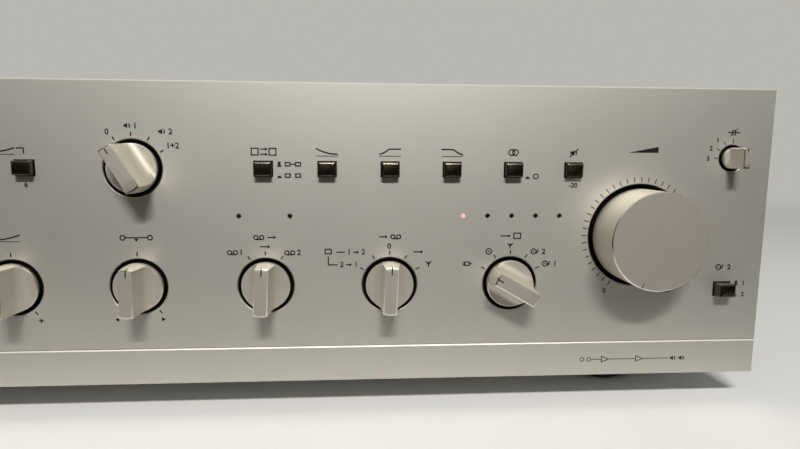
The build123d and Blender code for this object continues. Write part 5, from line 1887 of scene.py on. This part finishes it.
@dataclass(frozen=True)
class Innards:
    """The transformer's laminations and the small parts on the main board."""

    laminations: int = 46
    limb: float = 18.0
    yoke: float = 16.0
    foot: float = 12.0
    clamp: float = 2.5

    def build(self, paint: Paintbox) -> None:
        """Make the core and the board's parts."""
        self.core(paint)
        self.parts(paint)

    def core(self, paint: Paintbox) -> None:
        """A stack of laminations in the place of the solid core, on its clamp."""
        box = Span.of("transformer_core")
        thin = box.size.y / self.laminations
        bottom = box.low.z + self.clamp
        half = box.size.x / 2 - self.foot
        window = half - self.yoke - self.limb / 2
        seat = Seat(
            Vector((box.centre.x, box.low.y, 0)), Vector((1, 0, 0)), Vector((0, 0, 1)), Vector((0, -1, 0)),
        )
        shell = Shell()
        middle = (self.limb + window) / 2
        columns = [
            (0.0, self.limb / 2), (-half + self.yoke / 2, self.yoke / 2),
            (half - self.yoke / 2, self.yoke / 2),
        ]
        bars = [(u, (bottom + box.high.z) / 2, w, (box.high.z - bottom) / 2) for u, w in columns]
        bars += [
            (side * middle, z, window / 2, self.yoke / 2)
            for side in (-1, 1)
            for z in (bottom + self.yoke / 2, box.high.z - self.yoke / 2)
        ]
        for u, v, wide, tall in bars:
            depth = 0.8 * thin
            corners = [(u - wide, v - tall), (u + wide, v - tall), (u + wide, v + tall), (u - wide, v + tall)]
            shell.solid(seat, [[(*corner, h) for corner in corners] for h in (-depth, 0.0)])
        template = shell.build("lamination_template", [])
        seeds = bpy.data.meshes.new("stack")
        values = {
            "Fitting": template, "Count": self.laminations, "Pitch": thin * MM, "Finish": paint(Finish.IRON),
        }
        stack = StackTree().run(seeds, values)
        bpy.data.objects.remove(template)
        settle(plain("core_laminations", stack, smooth=False), CHASSIS, "core_iron", "transformer_core")
        clamp = Shell()
        foot = Seat.level(box.centre.x, box.centre.y, box.low.z)
        clamp.solid(foot, slab(box.size.x / 2, box.size.y / 2, (3.0, 3.0), 0.0, self.clamp, 0.2))
        settle(clamp.build("core_clamp", [paint(Finish.ZINC)]), CHASSIS, "core_iron")

    def parts(self, paint: Paintbox) -> None:
        """Resistors and small capacitors scattered over the free part of the board."""
        board = Span.of("main_board")
        cans = Span.of("filter_capacitors")
        top = board.high.z * MM
        low_x, high_x = (board.low.x + 12) * MM, (board.high.x - 12) * MM
        low_y, high_y = (board.low.y + 12) * MM, (cans.low.y - 8) * MM
        ground = bpy.data.meshes.new("ground")
        ground.from_pydata(
            [(low_x, low_y, top), (high_x, low_y, top), (high_x, high_y, top), (low_x, high_y, top)], [],
            [(0, 1, 2, 3)],
        )
        resistor = Shell()
        seat = Seat(Vector((0, 0, 1.6)), Vector((0, 1, 0)), Vector((0, 0, 1)), Vector((1, 0, 0)))
        outline = [
            (0.3, -5.0), (0.3, -3.2), (1.15, -3.0), (1.25, -2.2), (1.0, -1.6), (1.0, 1.6), (1.25, 2.2),
            (1.15, 3.0), (0.3, 3.2), (0.3, 5.0),
        ]
        resistor.solid(seat, [circle(r, h, 10) for r, h in outline])
        can = Shell()
        can.solid(
            Seat.level(0, 0, 0),
            [circle(r, h, 16) for r, h in ((3.0, 0.2), (3.1, 0.5), (3.1, 9.4), (2.7, 9.8), (2.2, 9.8))],
        )
        tree = ScatterTree()
        jobs = (
            ("board_resistors", resistor, Finish.CERAMIC, 9.0, 5),
            ("board_capacitors", can, Finish.SLEEVE, 17.0, 11),
        )
        for name, shell, finish, spacing, seed in jobs:
            template = shell.build(f"{name}_template", [])
            values = {
                "Fitting": template, "Spacing": spacing * MM, "Density": 6000.0, "Seed": seed,
                "Finish": paint(finish),
            }
            mesh = tree.run(ground.copy(), values)
            bpy.data.objects.remove(template)
            settle(plain(name, mesh), CHASSIS, "board_green")


# ---- construction nodes that stay in view

CONSTRUCTION_FINISHES: dict[str, Finish] = {
    "front_panel": Finish.PANEL,
    "front_plate": Finish.ZINC,
    "bottom_pan": Finish.ZINC,
    "rear_panel": Finish.REAR,
    "top_cover": Finish.COVER,
    "feet": Finish.FOOT,
    "foot_pads": Finish.RUBBER,
    "foot_screws": Finish.SCREW,
    "knob_wells": Finish.WELL_AND_SKIRT_SHADE,
    "control_bushes": Finish.NICKEL,
    "control_nuts": Finish.NICKEL,
    "control_pots": Finish.STAMPED,
    "selector_switches": Finish.STAMPED,
    "button_frames": Finish.FRAME,
    "button_switches": Finish.SWITCH,
    "dark_lamps": Finish.LENS_DARK,
    "lit_lamp": Finish.LENS_LIT,
    "headphone_socket": Finish.BLACK,
    "transformer_winding": Finish.TAPE,
    "main_board": Finish.BOARD,
    "filter_capacitors": Finish.SLEEVE,
    "heat_sink": Finish.SINK,
    "output_transistors": Finish.EPOXY,
    "jack_plate": Finish.PLATE,
}


def dress_construction(frame: dict, paint: Paintbox) -> None:
    """Give every construction node that stays in view its finish."""
    for node, finish in CONSTRUCTION_FINISHES.items():
        dress(frame, node, paint(finish))
    for node in sorted(frame["nodes"]):
        if node.endswith("_shaft"):
            dress(frame, node, paint(Finish.STEEL))


# ---- studio


@dataclass(frozen=True)
class Lamp:
    """A soft rectangular lamp that looks at a point, in metres and watts."""

    name: str
    place: Point
    aim: Point
    size: tuple[float, float]
    power: float
    spread: float = 180.0
    colour: Colour = (1.0, 0.985, 0.96)

    def build(self) -> None:
        """Hang the lamp."""
        data = bpy.data.lights.new(self.name, "AREA")
        data.shape = "RECTANGLE"
        data.size, data.size_y = self.size
        data.energy = self.power
        data.spread = radians(self.spread)
        data.color = self.colour
        lamp = bpy.data.objects.new(self.name, data)
        lamp.location = self.place
        lamp.rotation_euler = (Vector(self.aim) - Vector(self.place)).to_track_quat("-Z", "Y").to_euler()
        bpy.context.scene.collection.objects.link(lamp)


@dataclass(frozen=True)
class Studio:
    """Floor, world, lamps and camera."""

    floor_half: float = 4.0
    floor_colour: Colour = (0.76, 0.755, 0.74)
    floor_fade: tuple[float, float] = (0.45, 1.5)
    air: Colour = (0.28, 0.28, 0.275)
    backdrop: Colour = (0.48, 0.473, 0.44)
    side_room: Colour = (0.32, 0.275, 0.205)
    room: Colour = (0.015, 0.015, 0.013)
    # Front edge of the floor's painted shade, which only reflections see: where it begins and where it is
    # full.
    reflected_shade_edge: tuple[float, float] = (-0.18, -0.30)
    ceiling: Colour = (0.60, 0.59, 0.55)
    side_turn: tuple[float, float] = (0.1, 0.8)
    front_turn: tuple[float, float] = (0.0, -0.6)
    ceiling_turn: tuple[float, float] = (0.3, 0.9)
    camera_place: Point = (0.0509, -0.3988, 0.1071)
    lens: float = 25.32
    sensor: float = 36.0
    yaw: float = 3.983
    pitch: float = 7.478
    roll: float = 0.386
    lamps: tuple[Lamp, ...] = (Lamp("key", (0.09, -1.32, 1.22), (0.045, -0.17, 0.075), (0.50, 0.10), 25.5),)

    def build(self) -> None:
        """Set up everything round the object."""
        self.floor()
        self.world()
        for lamp in self.lamps:
            lamp.build()
        self.camera()
        bpy.context.scene.view_settings.view_transform = "Standard"

    def floor(self) -> None:
        """A plain pale floor, painted darker towards the front where reflections see it: painted shade that
        stands for the dim room and the camera side in front.
        """
        half = self.floor_half
        mesh = bpy.data.meshes.new("floor")
        mesh.from_pydata(
            [(-half, -half, 0), (half, -half, 0), (half, half, 0), (-half, half, 0)], [], [(0, 1, 2, 3)],
        )
        look = Look("pale_floor")
        place = look.place()
        noise = look.node("ShaderNodeTexNoise", Scale=3.0, Vector=place).outputs["Fac"]
        pale = look.mix(noise, tuple(0.97 * c for c in self.floor_colour), self.floor_colour)
        path = look.node("ShaderNodeLightPath").outputs
        ahead = look.node("ShaderNodeSeparateXYZ", Vector=place).outputs["Y"]
        # Painted shade: for glossy rays only, the floor in front of the object turns to the dark room colour.
        shade_ahead = look.ramp(ahead, *self.reflected_shade_edge, "SMOOTHSTEP")
        reflected_shade = look.math("MULTIPLY", shade_ahead, path["Is Glossy Ray"])
        away = look.ramp(look.vector("LENGTH", place).outputs["Value"], *self.floor_fade, "SMOOTHSTEP")
        faded = look.math("MULTIPLY", away, path["Is Camera Ray"])
        look.set(Base_Color=look.mix(faded, look.mix(reflected_shade, pale, self.room), (0, 0, 0)))
        look.set(Roughness=0.7, Specular_IOR_Level=0.0)
        look.set(Emission_Color=look.mix(faded, (0, 0, 0), self.backdrop), Emission_Strength=1.0)
        mesh.materials.append(look.material)
        floor = bpy.data.objects.new("floor", mesh)
        bpy.context.scene.collection.objects.link(floor)

    def world(self) -> None:
        """Even light from all round, with a pale backdrop where it is seen."""
        world = bpy.data.worlds.new("studio")
        world.use_nodes = True
        wires = Wiring(world.node_tree)
        path = wires.node("ShaderNodeLightPath").outputs
        seen = wires.math("MAXIMUM", path["Is Camera Ray"], path["Is Glossy Ray"])
        seen = wires.math("MAXIMUM", seen, path["Is Transmission Ray"])
        colour = wires.mix(seen, self.air, self.shown(wires, path["Is Camera Ray"]))
        wires.feed(world.node_tree.nodes["Background"].inputs["Color"], colour)
        bpy.context.scene.world = world

    def shown(self, wires: Wiring, camera_ray: Socket) -> Socket:
        """Colour that the world shows: the backdrop, and for reflections a dimmer room towards the front.

        Args:
            wires: The world's nodes.
            camera_ray: 1 where the camera looks straight at it.

        Returns:
            The colour output.
        """
        direction = wires.node("ShaderNodeTexCoord").outputs["Generated"]
        parts = wires.node("ShaderNodeSeparateXYZ", Vector=direction).outputs
        unseen = wires.math("SUBTRACT", 1.0, camera_ray)
        beside = wires.math("MULTIPLY", wires.ramp(parts["X"], *self.side_turn, "SMOOTHSTEP"), unseen)
        ahead = wires.math("MULTIPLY", wires.ramp(parts["Y"], *self.front_turn, "SMOOTHSTEP"), unseen)
        above = wires.ramp(parts["Z"], *self.ceiling_turn, "SMOOTHSTEP")
        side = wires.mix(beside, self.backdrop, self.side_room)
        return wires.mix(ahead, side, wires.mix(above, self.room, self.ceiling))

    def camera(self) -> None:
        """The main camera."""
        data = bpy.data.cameras.new("camera")
        data.lens = self.lens
        data.sensor_width = self.sensor
        data.clip_start = 0.01
        camera = bpy.data.objects.new("camera", data)
        turn = Matrix.Rotation(radians(-self.yaw), 4, "Z") @ Matrix.Rotation(radians(90 - self.pitch), 4, "X")
        turn = turn @ Matrix.Rotation(radians(self.roll), 4, "Z")
        camera.matrix_world = Matrix.Translation(self.camera_place) @ turn
        bpy.context.scene.collection.objects.link(camera)
        bpy.context.scene.camera = camera


# ---- everything in order


def main() -> None:
    """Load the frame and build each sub-assembly round it."""
    logging.basicConfig(level=logging.INFO, format="%(name)s: %(message)s")
    for item in list(bpy.data.objects):
        bpy.data.objects.remove(item)
    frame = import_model()
    paint = Paintbox()
    Studio().build()
    dress_construction(frame, paint)
    Knobs().build(paint)
    Buttons().build(paint)
    FrontPrint().build(paint)
    Screws().build(paint)
    Rear().build(paint)
    Innards().build(paint)


if __name__ == "__main__":
    main()
